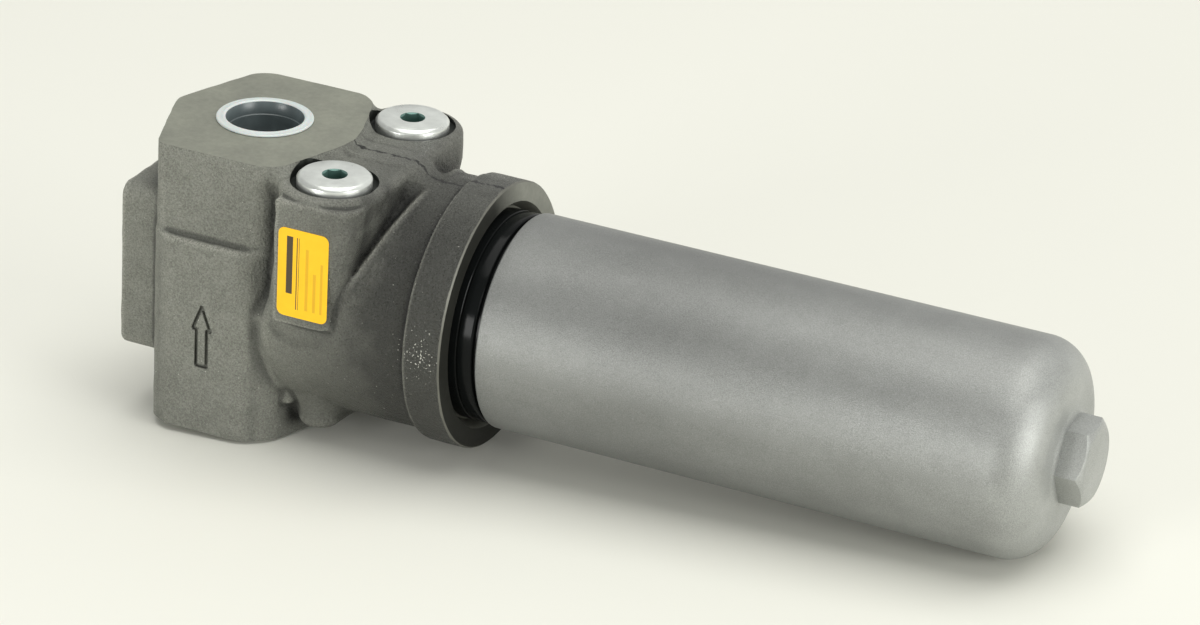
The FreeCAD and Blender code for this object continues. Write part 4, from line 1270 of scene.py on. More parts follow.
    def neck(self, x: np.ndarray, y: np.ndarray, z: np.ndarray) -> np.ndarray:
        """The neck, its thicker sleeve with a slanted end, and the collar.

        Args:
            x: Places along the part, in millimetres.
            y: Places across it.
            z: Heights.

        Returns:
            Distances to the form's skin, negative inside.
        """
        radial = np.hypot(y, z)
        crown = self.crown(y, z)
        base = self.neck_radius - self.neck_dip * ramp(z, *self.dip_heights)
        base = base + (self.sleeve_radius - base) * crown
        cone = ramp(z, *self.cone_heights)
        leg = self.sleeve_leg[0] + (self.sleeve_leg[1] - self.sleeve_leg[0]) * ramp(z, *self.leg_heights)
        past = self.past_crest(x, z)
        rise = np.clip(1.0 + past / (leg + self.cone_length * cone), 0.0, 1.0)
        rise = (1.0 - cone) * rise * (0.45 + 0.55 * rise) + cone * ease(rise)
        crest = (self.sleeve_crest - self.sleeve_radius) * (1.0 - crown) * ramp(z, *self.crest_heights)
        crest = self.sleeve_radius + crest * (1.0 - ease(ramp(past, 0.0, self.crest_width)))
        wall = (radial - base - (crest - base) * rise) * 0.8
        start = self.neck_start - self.neck_belly * ramp(z, 6.0, -4.0)
        wall = np.maximum(round_meet(wall, start - x, self.neck_round), x - self.collar_face)
        collar = round_meet(radial - self.collar_radius, self.collar_start - x, self.collar_edge)
        collar = np.maximum(collar, x - self.collar_face - self.allowance)
        return fillet_join(wall, collar, 0.5 + 2.3 * crown)

    def past_crest(self, x: np.ndarray, z: np.ndarray) -> np.ndarray:
        """How far a place lies beyond the slanted crest at the sleeve's end."""
        return x - self.sleeve_top - self.sleeve_slant * (z - self.sleeve_radius)

    def crown(self, y: np.ndarray, z: np.ndarray) -> np.ndarray:
        """One along the neck's top, between the plugs, and nought away from it."""
        return np.clip((self.crown_half - np.abs(y)) / 8.0, 0.0, 1.0) * ramp(z, *self.crown_heights)

    def underside(self, x: np.ndarray, y: np.ndarray, z: np.ndarray) -> tuple[np.ndarray, np.ndarray]:
        """The cross foot under the neck, and two small nubs between it and the block.

        Args:
            x: Places along the part, in millimetres.
            y: Places across it.
            z: Heights.

        Returns:
            Distances to the foot's skin and to the nubs' skin, negative inside.
        """
        foot = np.hypot(x - self.foot_place, np.maximum(np.abs(y) - self.foot_reach, 0.0)) - self.foot_half
        nubs = np.hypot(x - self.nub_place, np.abs(y) - self.nub_spread) - self.nub_radius
        return (
            round_meet(foot, np.maximum(self.foot_level - z, z + 20.0), self.foot_edge),
            round_meet(nubs, np.maximum(self.nub_level - z, z + 10.0), self.nub_edge),
        )

    def label_pad(self, x: np.ndarray, y: np.ndarray, z: np.ndarray) -> np.ndarray:
        """The flat raised field that the label sits on.

        Args:
            x: Places along the part, in millimetres.
            y: Places across it.
            z: Heights.

        Returns:
            Distances to the form's skin, negative inside.
        """
        start, end, low, high = self.label_field
        flat = round_meet(x - end + self.lean(z), -self.label_depth - y, self.label_round)
        flat = round_meet(flat, start - x, 0.7)
        flat = round_meet(flat, np.maximum(z - high, low - z), 0.9)
        return np.maximum(flat, y + 35.0)

    def field_at(self, points: np.ndarray) -> np.ndarray:
        """Distance from points in millimetres to the casting's skin, before machining.

        Args:
            points: Positions, one row each.

        Returns:
            The distances, negative inside the metal.
        """
        x, y, z = points[:, 0], points[:, 1], points[:, 2]
        foot, nubs = self.underside(x, y, z)
        body = fillet_join(self.block(x, y, z), self.deck(x, y, z), 3.0 + 2.6 * ramp(z, 42.0, 50.0))
        whole = fillet_join(body, self.neck(x, y, z), 3.6 + 1.8 * ramp(z, 10.0, -4.0) + 3.6 * self.crown(y, z))
        for form, fillet in ((foot, 4.0), (nubs, 1.2), (self.label_pad(x, y, z), 0.8)):
            whole = fillet_join(whole, form, fillet)
        uneven = sum(size * np.sin(points @ way + phase) for way, phase, size in self.ripples)
        limit = np.maximum(y - self.collar_radius, -self.label_depth - y)
        return np.maximum(whole + uneven, limit)

    def raw_casting(self) -> Piece:
        """Net the distance field and pull the net onto the skin.

        Returns:
            The head before machining.
        """
        low, high = np.array(self.grid_start), np.array(self.grid_end)
        counts = np.ceil((high - low) / self.grid).astype(int) + 1
        axes = [low[i] + np.arange(counts[i]) * self.grid for i in range(3)]
        values = np.empty(tuple(counts))
        y, z = np.meshgrid(axes[1], axes[2], indexing="ij")
        for index, x in enumerate(axes[0]):
            layer = np.column_stack([np.full(y.size, x), y.ravel(), z.ravel()])
            values[index] = self.field_at(layer).reshape(y.shape)
        corners, quads = net_surface(values, low, self.grid)
        corners = pull_onto(self.field_at, corners)
        return mesh_object("head_casting_skin", corners, quads.tolist())

    def port_profile(self, floor: float) -> list[tuple[float, float]]:
        """A port's cavity, bore and countersunk mouth, from a floor outwards.

        Args:
            floor: Where the cavity starts, from the bowl's axis.

        Returns:
            The profile as (height, radius).
        """
        return [
            (floor, 0.0), (floor, self.cavity), (32.2, self.cavity), (33.5, self.port_bore), (53.6, self.port_bore),
            (self.port_face, self.port_mouth), (self.port_face + 5.0, self.port_mouth), (self.port_face + 5.0, 0.0),
        ]

    def port_tools(self) -> list[Piece]:
        """Cutters for the two ports, the cavities behind them and the bypass valve's bore.

        Returns:
            The closed cutters.
        """
        at = (self.port_axis, 0.0, 0.0)
        inlet = [(-height, radius) for height, radius in reversed(self.port_profile(self.inlet_roof))]
        valve = [(-self.inlet_roof - 1.0, 0.0), (-self.inlet_roof - 1.0, 9.0), (-9.0, 9.0), (-9.0, 0.0)]
        return [
            turned_mesh("tool", self.port_profile(self.outlet_floor), Axis.Z, at, 96),
            turned_mesh("tool", inlet, Axis.Z, at, 96),
            turned_mesh("tool", valve, Axis.Z, at, 64),
        ]

    def bowl_tools(self) -> list[Piece]:
        """Cutters for the bowl's bore with its seal groove, the gallery, the spigot's socket and the inlet passage.

        Returns:
            The closed cutters.
        """
        bore = [
            (78.0, 0.0), (78.0, 33.0), (94.0, 33.0), (94.0, 35.12), (100.0, 35.12), (100.0, 39.0), (106.4, 39.0),
            (106.4, 35.12), (112.6, 35.12), (114.6, 37.1), (135.1, 37.1), (135.1, 39.7), (138.8, 41.8),
            (139.5, 42.4), (145.0, 42.4), (145.0, 0.0),
        ]
        tools = [turned_mesh("tool", bore, Axis.X, sides=160)]
        for start, end, radius, level, sides in (
            (self.port_axis, 66.5, 10.0, 0.0, 48), (66.0, 79.0, 13.0, 0.0, 64), (self.port_axis, 86.0, 8.5, -27.0, 48),
        ):
            profile = [(start, 0.0), (start, radius), (end, radius), (end, 0.0)]
            tools.append(turned_mesh("tool", profile, Axis.X, (0.0, 0.0, level), sides))
        return tools

    def deck_tools(self) -> list[Piece]:
        """Cutters for the plugs' spot faces and bores.

        Returns:
            The closed cutters.
        """
        seat, face = self.seat_level, self.seat_radius
        profile = [
            (seat - 15.0, 0.0), (seat - 15.0, self.plug_bore), (seat - 1.0, self.plug_bore), (seat, 10.2), (seat, face),
            (seat + 0.4, face + 0.4), (60.0, face + 0.4), (60.0, 0.0),
        ]
        return [
            turned_mesh("tool", profile, Axis.Z, (self.plug_place, side * self.plug_spread, 0.0), 96)
            for side in (-1.0, 1.0)
        ]

    def pad_tools(self) -> list[Piece]:
        """Cutters for the four tapped mounting holes.

        Returns:
            The closed cutters.
        """
        profile = [(-5.0, 0.0), (-5.0, 5.6), (0.0, 5.6), (0.6, 5.0), (15.0, 5.0), (17.9, 0.0)]
        return [
            turned_mesh("tool", profile, Axis.X, (0.0, across, up), 48)
            for across in (-24.0, 24.0)
            for up in (-22.0, 22.0)
        ]

    def face_tools(self) -> list[Piece]:
        """Slabs that mill the port faces, the collar's face and the pad flat, and a ring that breaks the collar's rim.

        Returns:
            The closed cutters.
        """
        square = [(-20.0, -80.0), (160.0, -80.0), (160.0, 80.0), (-20.0, 80.0)]
        front = [(-80.0, -80.0), (80.0, -80.0), (80.0, 80.0), (-80.0, 80.0)]
        rim = [(138.7, 50.1), (139.6, 49.2), (146.0, 49.2), (146.0, 60.0), (138.7, 60.0)]
        return [
            prism("tool", square, self.port_face, self.port_face + 20.0),
            prism("tool", square, -self.port_face - 20.0, -self.port_face),
            prism("tool", front, self.collar_face, self.collar_face + 20.0, Axis.X),
            prism("tool", front, -20.0, 0.0, Axis.X),
            turned_mesh("tool", rim, Axis.X, sides=160),
        ]

    def arrow_tools(self) -> list[Piece]:
        """Cutters for the flow arrow's outline in the block's near face, one for each side of the arrow.

        Returns:
            The closed cutters.
        """
        corners = [
            (39.85, -4.3), (36.2, -13.6), (37.7, -13.6), (37.7, -28.2), (42.0, -28.2), (42.0, -13.6), (43.5, -13.6),
        ]
        tools = []
        for start, end in zip(corners, corners[1:] + corners[:1]):
            a, b = Vector(start), Vector(end)
            way = (b - a).normalized()
            side = Vector((-way.y, way.x)) * self.arrow_half
            a, b = a - way * self.arrow_overrun, b + way * self.arrow_overrun
            outline = [tuple(a + side), tuple(a - side), tuple(b - side), tuple(b + side)]
            tools.append(prism("tool", outline, -45.0, -41.5, Axis.Y))
        return tools

    def store_skin(self, piece: Piece) -> None:
        """Keep how convex and how open the skin is at each corner of the mesh, and where the sleeve's crest runs, for
        the skin's wear, painted shade and painted highlights.

        Args:
            piece: The machined head.
        """
        mesh = piece.data
        points = read_rows(mesh.vertices, "co") / MM
        bend = -6.0 * self.field_at(points)
        for axis in range(3):
            shift = np.zeros(3)
            shift[axis] = self.bend_reach
            bend += self.field_at(points + shift) + self.field_at(points - shift)
        store_number(mesh, "edge", np.clip(bend / self.bend_reach**2, -1.0, 1.0))
        normals = read_rows(mesh.vertices, "normal")
        open_share = np.zeros(len(points))
        for away in self.open_reach:
            open_share += np.clip(self.field_at(points + normals * away) / away, 0.0, 1.0) / len(self.open_reach)
        store_number(mesh, "open", open_share)
        x, y, z = points.T
        # Where the painted highlight along the sleeve's crest falls.
        crest = np.exp(-((self.past_crest(x, z) - 0.2) / 1.5) ** 2) * ramp(z, 14.0, 24.0)
        crest *= (np.hypot(y, z) > 46.5) * (1.0 - self.crown(y, z))
        store_number(mesh, "crest", crest)

    def sort_faces(self, piece: Piece) -> None:
        """Number the faces by finish.

        Args:
            piece: The machined head.
        """
        mesh = piece.data
        x, y, z = (read_rows(mesh.polygons, "center") / MM).T
        normal = read_rows(mesh.polygons, "normal")
        finish = np.full(len(mesh.polygons), HeadFinish.CAST, np.int32)
        finish[np.abs(np.abs(z) - self.port_face) < 0.02] = HeadFinish.PORT_FACE
        radial = np.hypot(y, z)
        outward = (normal[:, 1] * y + normal[:, 2] * z) / np.maximum(radial, 1.0)
        finish[(radial < 42.6) & (x > 93.9)] = HeadFinish.BORED
        finish[x > self.collar_face - 0.02] = HeadFinish.COLLAR_FACE
        rim = (x > self.collar_face - 1.0) & (radial > 48.5) & (normal[:, 0] > 0.3) & (outward > 0.3)
        finish[rim] = HeadFinish.COLLAR_RIM
        port = np.hypot(x - self.port_axis, y)
        finish[(port < 17.4) & (np.abs(z) > 32.0) & (np.abs(z) < 54.99)] = HeadFinish.BORED
        seat = np.hypot(x - self.plug_place, np.abs(y) - self.plug_spread)
        finish[(seat < 16.04) & (z > 34.0) & (z < 54.9)] = HeadFinish.PLUG_SEAT
        finish[(x < 0.02) & (normal[:, 0] < -0.98)] = HeadFinish.PAD_FACE
        mesh.polygons.foreach_set("material_index", finish)

    def threads(self, finish: Material) -> None:
        """Cut threads for the ports and the mounting holes, as ridges along spirals.

        Args:
            finish: The bores' material.
        """
        for name, foot in (("outlet_thread", 34.2), ("inlet_thread", -53.2)):
            thread = self.threader.lay(name, PORT_THREAD, finish, (self.port_axis, 0.0, foot))
            keep(thread, "head", "head_iron")
        for row, height in (("low", -22.0), ("high", 22.0)):
            for side, across in (("near", -24.0), ("far", 24.0)):
                name = "mounting_thread_%s_%s" % (row, side)
                thread = self.threader.lay(name, MOUNTING_THREAD, finish, (1.4, across, height), Axis.X)
                keep(thread, "head", "head_iron")

    def finishes(self) -> dict[HeadFinish, Material]:
        """The head's materials.

        Returns:
            One material for each finish.
        """
        middle, round_bowl, along = (0.0, 0.0, 0.0), (0.0, 1.0, 1.0), (1.0, 0.0, 0.0)
        plug = (self.plug_place * MM, 0.0, 0.0)
        iron = {
            HeadFinish.PORT_FACE: MachinedIron("port_face_iron"),
            # Darker than the port face: painted shade in the bores and the collar's recess.
            HeadFinish.BORED: MachinedIron("bored_shaded_iron", (0.12, 0.122, 0.10), middle, round_bowl),
            # Near black: painted shade in the spot faces round the plugs.
            HeadFinish.PLUG_SEAT: MachinedIron("plug_seat_shaded_iron", (0.030, 0.034, 0.030), plug, along, specular=0.2),
            HeadFinish.PAD_FACE: MachinedIron("pad_face_iron", (0.24, 0.245, 0.20), (0.0, 0.3, 0.2), round_bowl),
            # The collar face is darkened on its lower near side: painted shade, partly an oily film.
            HeadFinish.COLLAR_FACE: MachinedIron(
                "collar_face_iron", (0.24, 0.245, 0.21), middle, round_bowl, oil_and_painted_shade=0.10, specular=0.12, metallic=0.0
            ),
            HeadFinish.COLLAR_RIM: MachinedIron(
                "collar_rim_iron", (0.16, 0.16, 0.138), middle, round_bowl, specular=0.3
            ),
        }
        return {HeadFinish.CAST: CastIron().material()} | {name: finish.material() for name, finish in iron.items()}

    def build(self) -> None:
        """Cast, machine and dress the head."""
        head = self.raw_casting()
        combine(head, self.face_tools() + self.port_tools() + self.bowl_tools())
        combine(head, self.deck_tools() + self.pad_tools() + self.arrow_tools())
        self.store_skin(head)
        self.sort_faces(head)
        smooth_over(head, 34.0)
        finishes = self.finishes()
        dress(head, *(finishes[finish] for finish in HeadFinish))
        keep(head, "head", "head_iron", "head_casting")
        self.threads(finishes[HeadFinish.BORED])


# The bowl


@dataclass
class Bowl:
    """The steel bowl: turned shell with a thread and a hexagon at its closed end."""

    threader: ThreadRidge
    rim: float = 94.3
    shoulder: float = 148.8
    end: float = 358.0
    radius: float = 40.0
    bore: float = 31.5
    nose: float = 35.0
    neck: float = 36.2
    corner: float = 15.7
    floor: float = 9.0
    inner_corner: float = 9.0
    land: float = 16.4
    land_rise: float = 0.9
    flats: float = 28.0
    head_length: float = 10.7
    thread_foot: float = 116.5
    thread_ends: tuple[float, float] = (115.7, 134.6)

    def shell(self) -> Piece:
        """Turn the shell.

        Returns:
            The shell without its hexagon.
        """
        corner_at = (self.end - self.corner, self.radius - self.corner)
        inside_at = (self.end - self.floor - self.inner_corner, self.bore - self.inner_corner)
        outside = [
            (self.rim, self.bore), (self.rim, self.nose - 1.0), (self.rim + 2.0, self.nose), (114.6, self.nose),
            (self.thread_ends[0], BOWL_THREAD.radius), (self.thread_ends[1], BOWL_THREAD.radius), (135.2, self.neck),
            (self.shoulder, self.neck),
        ]
        outside += arc((self.shoulder + 0.7, self.radius - 0.7), 0.7, 180.0, 90.0, 5)
        plain = np.linspace(self.shoulder + 6.0, corner_at[0] - 4.0, 26)
        outside += [(float(x), self.radius) for x in plain]
        outside += arc(corner_at, self.corner, 90.0, 0.0, 18)
        foot = self.end + self.land_rise
        outside += [(self.end, 19.0), (self.end + 0.5, 17.2), (foot, self.land), (foot, 0.0)]
        inside = [(self.end - self.floor, 0.0)] + arc(inside_at, self.inner_corner, 0.0, 90.0, 8)
        return turned_mesh("bowl_shell", outside + inside, Axis.X, sides=176)

    def hexagon(self) -> Piece:
        """Mill the hexagon and turn its crown.

        Returns:
            The hexagon, whose foot reaches into the closed end.
        """
        outline = hexagon_outline(self.flats, (0.0, 0.0), 0.0)
        tip = self.end + self.head_length
        bar = prism("bowl_hexagon_bar", outline, self.end - 2.0, tip, Axis.X)
        crown = [
            (self.end - 3.0, 0.0), (self.end - 3.0, 22.0), (tip - 3.8, 18.5), (tip - 0.7, 14.0), (tip - 0.15, 13.1),
            (tip, 12.4), (tip, 0.0),
        ]
        combine(bar, [turned_mesh("tool", crown, Axis.X, sides=120)], Join.SHARE)
        bevel_edges(bar, 0.55, 3, 25.0)
        return bar

    def build(self) -> None:
        """Join the shell and the hexagon, cut the thread and dress them."""
        bowl = self.shell()
        combine(bowl, [self.hexagon()], Join.ADD)
        smooth_over(bowl, 30.0)
        finish = BlastedSteel().material()
        dress(bowl, finish)
        keep(bowl, "bowl", "bowl_steel", "bowl")
        thread = self.threader.lay("bowl_outer_thread", BOWL_THREAD, finish, (self.thread_foot, 0.0, 0.0), Axis.X)
        keep(thread, "bowl", "bowl_steel")


@dataclass
class CollarRing:
    """The glossy black ring between the collar and the bowl's shoulder."""

    start: float = 135.4
    end: float = 148.5
    radius: float = 39.1
    bore: float = 36.25
    groove: float = 140.6

    def build(self) -> None:
        """Turn the ring with rounded shoulders, a fine groove and a narrow lip, and dress it."""
        outside, deep, groove = self.radius, self.radius - 0.35, self.groove
        profile = [(self.start, self.bore), (self.start, outside - 0.6), (self.start + 0.6, outside)]
        profile += [(groove, outside), (groove + 0.3, deep), (groove + 0.7, deep), (groove + 1.0, outside)]
        profile += arc((self.end - 2.3, outside - 1.0), 1.0, 90.0, 0.0, 6)
        profile += [(self.end - 1.3, outside - 1.5), (self.end - 0.2, outside - 1.5), (self.end, outside - 1.8)]
        ring = turned_mesh("collar_ring_gloss", profile + [(self.end, self.bore)], Axis.X, sides=160)
        smooth_over(ring, 30.0)
        finish = PlainFinish("gloss_black_ring", (0.006, 0.007, 0.007), 0.14, depth=0.00006, grain=240.0, specular=0.09)
        dress(ring, finish.material())
        keep(ring, "bowl_thread", "black_ring", "collar_ring")


@dataclass
class SealingPlug:
    """A bright plug with a bevelled head, a hexagon socket and a threaded shank."""

    threader: ThreadRidge
    side: str
    sign: float
    place: float = 86.0
    spread: float = 30.5
    seat: float = 49.7
    head: float = 13.65
    height: float = 5.0
    shank: float = 9.1
    shank_length: float = 12.0
    seal_room: float = 12.2
    seal_height: float = 1.5
    socket: float = 8.0
    socket_depth: float = 7.0

    def turned(self, centre: Point) -> Piece:
        """Turn the plug's head and shank.

        Args:
            centre: A point on its axis, in millimetres.

        Returns:
            The plug without its socket.
        """
        low, top, end = self.seat + 0.1, self.seat + self.height, self.seat - self.shank_length
        seal, root = low + self.seal_height, PLUG_THREAD.radius
        profile = [(end, 0.0), (end, root - 0.8), (end + 0.8, root), (self.seat - 0.7, root), (self.seat, self.shank)]
        profile += [(seal, self.shank), (seal, self.seal_room), (low, self.seal_room), (low, self.head - 0.25)]
        profile += [(low + 0.25, self.head), (top - 1.45, self.head), (top - 1.15, self.head - 0.10)]
        profile += [(top - 0.22, self.head - 1.05), (top, self.head - 1.5), (top, 0.0)]
        return turned_mesh("plug_%s_zinc" % self.side, profile, Axis.Z, centre, 128)

    def build(self) -> None:
        """Turn the plug, broach its socket, cut its thread and dress it."""
        centre, top = (self.place, self.sign * self.spread, 0.0), self.seat + self.height
        plug = self.turned(centre)
        outline = hexagon_outline(self.socket, centre[:2], 30.0)
        sink = [(top - 0.6, 0.0), (top - 0.6, 3.9), (top + 0.35, 5.1), (top + 0.35, 0.0)]
        broach = prism("tool", outline, top - self.socket_depth, top + 2.0)
        combine(plug, [broach, turned_mesh("tool", sink, Axis.Z, centre, 96)])
        smooth_over(plug, 28.0)
        x, y, z = (read_rows(plug.data.polygons, "center") / MM).T
        near = np.hypot(x - centre[0], y - centre[1]) < self.socket / math.sqrt(3.0) + 0.25
        broached = near & (z > top - self.socket_depth - 0.1)
        plug.data.polygons.foreach_set("material_index", broached.astype(np.int32))
        middle = tuple(c * MM for c in centre)
        plate = ZincPlate("zinc_plate_%s" % self.side, middle).material()
        socket = ZincPlate("zinc_socket_%s" % self.side, middle, (0.13, 0.24, 0.21), (0.34, 0.46), 0.5)
        dress(plug, plate, socket.material())
        body = "plug_" + self.side
        keep(plug, body, "plug_zinc", body)
        thread = self.threader.lay(body + "_thread", PLUG_THREAD, plate, (*centre[:2], self.seat - 10.8))
        keep(thread, body, "plug_zinc")


@dataclass
class PortCap:
    """The translucent plastic cap pushed into the outlet port."""

    centre: Point = (41.0, 0.0, 0.0)
    face: float = 55.0

    def build(self) -> None:
        """Turn the thin cup with its flange and bead, and dress it."""
        f = self.face
        profile = [
            (f - 14.0, 0.0), (f - 14.0, 13.5), (f - 13.2, 14.3), (f - 1.6, 15.03), (f + 0.05, 15.03), (f + 0.05, 17.7),
            (f + 0.2, 17.86), (f + 0.6, 17.86), (f + 0.9, 17.6), (f + 0.95, 16.7), (f + 0.9, 16.2), (f + 1.1, 15.7),
            (f + 1.2, 15.2), (f + 1.1, 14.75), (f + 0.7, 14.4), (f - 4.0, 13.95), (f - 4.3, 13.6), (f - 12.3, 13.3),
            (f - 13.1, 12.6), (f - 13.1, 0.0),
        ]
        cap = turned_mesh("outlet_cap_plastic", profile, Axis.Z, self.centre, 128)
        smooth_over(cap, 40.0)
        height = read_rows(cap.data.polygons, "center")[:, 2] / MM
        cap.data.polygons.foreach_set("material_index", (height < f + 0.3).astype(np.int32))
        rim = PlainFinish("cap_polyethylene", (0.60, 0.645, 0.63), 0.34, drift=0.06, subsurface=0.15)
        # The inside of the cup is the same plastic, darkened: painted shade.
        deep = PlainFinish("cap_polyethylene_shaded_inside", (0.120, 0.148, 0.152), 0.30, drift=0.3)
        dress(cap, rim.material(), deep.material())
        keep(cap, "outlet_port_cap", "cap_plastic", "outlet_port_cap")


@dataclass(frozen=True)
class PrintedFoil:
    """Yellow foil with plain printed bars, each given as across from, across to, up from and up to in millimetres."""

    name: str
    centre: Point
    paper: tuple[Colour, Colour] = ((0.95, 0.50, 0.012), (0.98, 0.57, 0.020))
    pale_ink: Colour = (0.30, 0.16, 0.02)
    dark_ink: Colour = (0.035, 0.033, 0.03)
    dark_bars: tuple[tuple[float, ...], ...] = (
        (-6.6, -4.1, -8.2, 14.2), (-2.6, -2.2, -14.0, 14.2), (-1.7, -1.5, -14.0, 14.2),
    )
    pale_bars: tuple[tuple[float, ...], ...] = (
        (1.1, 2.3, -13.6, 10.5), (4.2, 5.4, -13.6, 1.5), (7.1, 8.1, -13.6, 6.0),
    )

    def bars(self, n: Nodes, bars: Sequence[Sequence[float]]) -> Socket:
        """One where any of some bars lies.

        Args:
            n: The node tree that it is added to.
            bars: The bars.

        Returns:
            One on a bar and nought beside it.
        """
        across, _, up = n.split(n.moved(self.centre))
        marks = [
            n.times(
                n.math("GREATER_THAN", across, start * MM), n.math("LESS_THAN", across, end * MM),
                n.math("GREATER_THAN", up, low * MM), n.math("LESS_THAN", up, high * MM),
            )
            for start, end, low, high in bars
        ]
        ink = marks[0]
        for mark in marks[1:]:
            ink = n.math("MAXIMUM", ink, mark)
        return ink

    def material(self) -> Material:
        """Build the material.

        Returns:
            The finished material.
        """
        n = Nodes(self.name)
        paper = n.blend(n.noise(300.0, 3.0), *self.paper)
        inked = n.blend(n.times(self.bars(n, self.pale_bars), 0.35), paper, self.pale_ink)
        inked = n.blend(n.times(self.bars(n, self.dark_bars), 0.96), inked, self.dark_ink)
        normal = n.bump(n.noise(700.0), 0.15, 0.00004)
        return n.finish(Base_Color=inked, Roughness=0.42, Normal=normal, Specular_IOR_Level=0.25)


@dataclass
class Label:
    """The yellow foil label on the deck's near side."""

    place: float = 84.6
    level: float = 22.2
    width: float = 20.2
    height: float = 34.4
    depth: float = 50.2
    thickness: float = 0.2
    corner: float = 2.6

    def build(self) -> None:
        """Cut the foil with round corners and print it."""
        w, h = self.width / 2.0, self.height / 2.0
        corners = [(-w, -h), (w, -h), (w, h), (-w, h)]
        outline = [(self.place + u, self.level + v) for u, v in rounded_outline(corners, self.corner)]
        foil = prism("label_foil_yellow", outline, -self.depth - self.thickness, -self.depth, Axis.Y)
        bevel_edges(foil, 0.06, 1)
        dress(foil, PrintedFoil("label_print", (self.place * MM, 0.0, self.level * MM)).material())
        keep(foil, "head", "label_yellow", "label_foil")


class InnerParts:
    """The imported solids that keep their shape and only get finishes."""

    FINISHES = {
        "element_spigot": PlainFinish("turned_steel", (0.52, 0.52, 0.51), 0.32, 0.9),
        "element_top_cap": PlainFinish("tinned_sheet", (0.58, 0.58, 0.56), 0.35, 0.85),
        "element_bottom_cap": PlainFinish("tinned_sheet_end", (0.58, 0.58, 0.56), 0.35, 0.85),
        "element_core": PlainFinish("perforated_tube", (0.50, 0.50, 0.48), 0.4, 0.8),
        "element_media": PlainFinish("filter_fleece", (0.74, 0.72, 0.64), 0.9, grain=2500.0, depth=0.0002),
        "bypass_seat": PlainFinish("valve_steel", (0.46, 0.46, 0.45), 0.3, 0.9),
        "bypass_poppet": PlainFinish("poppet_steel", (0.50, 0.50, 0.49), 0.28, 0.9),
        "bypass_cage": PlainFinish("cage_steel", (0.46, 0.46, 0.45), 0.36, 0.85),
        "bypass_spring": PlainFinish("spring_wire", (0.30, 0.30, 0.31), 0.3, 0.9),
        "bowl_o_ring": PlainFinish("nitrile_rubber", (0.022, 0.022, 0.022), 0.55),
        "element_o_ring": PlainFinish("nitrile_rubber_small", (0.022, 0.022, 0.022), 0.55),
        "bowl_backup_ring": PlainFinish("white_fluoroplastic", (0.72, 0.71, 0.67), 0.4),
        "plug_seal_front": PlainFinish("plug_rubber_front", (0.014, 0.024, 0.020), 0.42),
        "plug_seal_rear": PlainFinish("plug_rubber_rear", (0.014, 0.024, 0.020), 0.42),
    }

    def build(self) -> None:
        """Give each inner node its finish."""
        for name, finish in self.FINISHES.items():
            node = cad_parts[name]
            dress(node, finish.material())
            LOG.info("%s: finish %s", name, finish.name)


# The studio


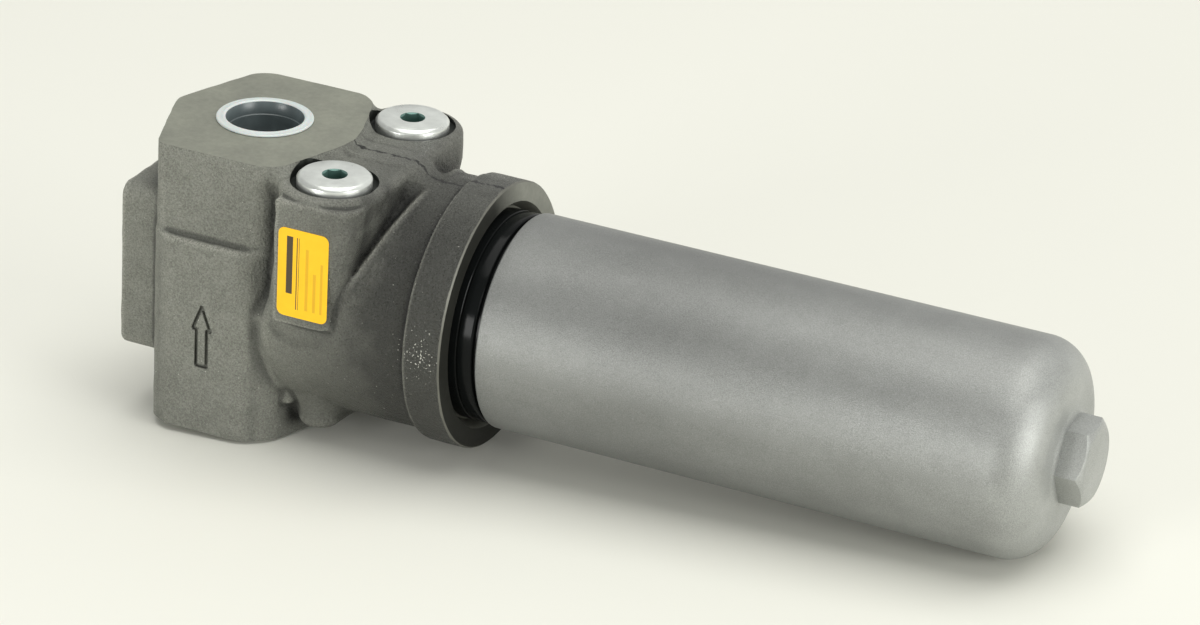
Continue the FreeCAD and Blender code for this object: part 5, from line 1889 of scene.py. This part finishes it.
@dataclass
class Studio:
    """Pale floor, soft lamps and the camera."""

    azimuth: float = 23.50
    elevation: float = 25.23
    roll: float = 3.427
    distance: float = 1.6776
    focal_pixels: float = 4624.0
    image: tuple[int, int] = (1200, 625)
    sensor: float = 36.0
    target: Point = (0.1395, 0.0, 0.0)
    target_pixel: tuple[float, float] = (500.23, 314.82)
    floor_foot: Point = (0.077, 0.0, -0.0552)
    floor_rise: float = 15.0
    floor_run: float = 265.0
    floor_half: float = 4.0
    lamps_at: Point = (0.18, 0.0, 0.0)

    def camera(self) -> None:
        """Stand the camera where the photograph was taken from."""
        a, e, r = (math.radians(v) for v in (self.azimuth, self.elevation, self.roll))
        back = Vector((math.sin(a) * math.cos(e), -math.cos(a) * math.cos(e), math.sin(e)))
        right = Vector((math.cos(a), math.sin(a), 0.0))
        up = back.cross(right)
        right, up = right * math.cos(r) + up * math.sin(r), up * math.cos(r) - right * math.sin(r)
        scale = self.distance / self.focal_pixels
        off_u = self.target_pixel[0] - self.image[0] / 2.0
        off_v = self.target_pixel[1] - self.image[1] / 2.0
        place = Vector(self.target) + back * self.distance - right * (off_u * scale) + up * (off_v * scale)
        data = bpy.data.cameras.new("photo_camera")
        data.sensor_width = self.sensor
        data.lens = self.sensor * self.focal_pixels / self.image[0]
        data.clip_start, data.clip_end = 0.05, 50.0
        camera = bpy.data.objects.new("photo_camera", data)
        bpy.context.scene.collection.objects.link(camera)
        camera.matrix_world = Matrix.Translation(place) @ Matrix((right, up, back)).transposed().to_4x4()
        bpy.context.scene.camera = camera

    def floor(self) -> None:
        """Lay the floor under the block's front edge and the bowl's end, where the part rests."""
        tilt = math.atan2(self.floor_rise, self.floor_run)
        mesh = bpy.data.meshes.new("floor")
        along = Vector((math.cos(tilt), 0.0, math.sin(tilt))) * self.floor_half
        across = Vector((0.0, self.floor_half, 0.0))
        foot = Vector(self.floor_foot)
        corners = [foot + along * u + across * v for u, v in ((-1, -1), (1, -1), (1, 1), (-1, 1))]
        mesh.from_pydata([tuple(c) for c in corners], [], [(0, 1, 2, 3)])
        floor = bpy.data.objects.new("floor", mesh)
        bpy.context.scene.collection.objects.link(floor)
        n = Nodes("pale_floor")
        cloud = n.noise(3.0, 2.0)
        colour = n.blend(cloud, (0.79, 0.79, 0.72), (0.81, 0.81, 0.745))
        dress(floor, n.finish(Base_Color=colour, Roughness=0.75, Specular_IOR_Level=0.2))

    def lamp(self, name: str, way: Point, distance: float, size: float, power: float, colour: Colour) -> None:
        """Hang a square lamp that looks at the part.

        Args:
            name: The lamp's name.
            way: Direction from the part to the lamp.
            distance: How far away it hangs, in metres.
            size: Length of its side, in metres.
            power: Its power in watts.
            colour: Its colour.
        """
        data = bpy.data.lights.new(name, "AREA")
        data.shape = "SQUARE"
        data.size = size
        data.energy = power
        data.color = colour
        lamp = bpy.data.objects.new(name, data)
        bpy.context.scene.collection.objects.link(lamp)
        towards = Vector(way).normalized()
        lamp.location = Vector(self.lamps_at) + towards * distance
        lamp.rotation_mode = "QUATERNION"
        lamp.rotation_quaternion = towards.to_track_quat("Z", "Y")

    def world(self) -> None:
        """Set the world, brighter behind where the paper sweeps up."""
        world = bpy.data.worlds.new("studio")
        world.use_nodes = True
        nodes, links = world.node_tree.nodes, world.node_tree.links
        background = nodes["Background"]
        background.inputs["Color"].default_value = (1.0, 1.0, 0.98, 1.0)
        way = nodes.new("ShaderNodeTexCoord")
        parts = nodes.new("ShaderNodeSeparateXYZ")
        sweep = nodes.new("ShaderNodeMapRange")
        aslant = nodes.new("ShaderNodeMath")
        aslant.operation = "MULTIPLY_ADD"
        aslant.inputs[1].default_value = 0.2
        links.new(way.outputs["Generated"], parts.inputs[0])
        links.new(parts.outputs["X"], aslant.inputs[0])
        links.new(parts.outputs["Y"], aslant.inputs[2])
        links.new(aslant.outputs[0], sweep.inputs["Value"])
        for name, number in (("From Min", -0.1), ("From Max", 1.0), ("To Min", 0.33), ("To Max", 0.74)):
            sweep.inputs[name].default_value = number
        links.new(sweep.outputs["Result"], background.inputs["Strength"])
        bpy.context.scene.world = world

    def lamps(self) -> None:
        """Hang the wide lamp over the part and the panels at the front left and on the right."""
        self.lamp("softbox_top", (0.08, 0.01, 0.99), 3.0, 3.0, 72.0, (1.0, 0.995, 0.965))
        self.lamp("panel_front_left", (-0.40, -0.91, 0.11), 2.4, 0.9, 27.0, (1.0, 1.0, 0.98))
        self.lamp("panel_right", (0.92, -0.24, 0.22), 3.2, 1.5, 62.0, (1.0, 1.0, 0.98))

    def build(self) -> None:
        """Set up camera, floor, world, lamps and colour handling."""
        self.camera()
        self.floor()
        self.world()
        self.lamps()
        bpy.context.scene.view_settings.view_transform = "Standard"


def main() -> None:
    """Build the studio and every sub-assembly in order."""
    logging.basicConfig(level=logging.INFO, format="%(name)s %(message)s")
    threader = ThreadRidge()
    builders = [
        Studio(), HeadCasting(threader), Bowl(threader), CollarRing(), SealingPlug(threader, "front", -1.0),
        SealingPlug(threader, "rear", 1.0), PortCap(), Label(), InnerParts(),
    ]
    for builder in builders:
        builder.build()
        LOG.info("%s done", type(builder).__name__)


if __name__ == "__main__":
    main()
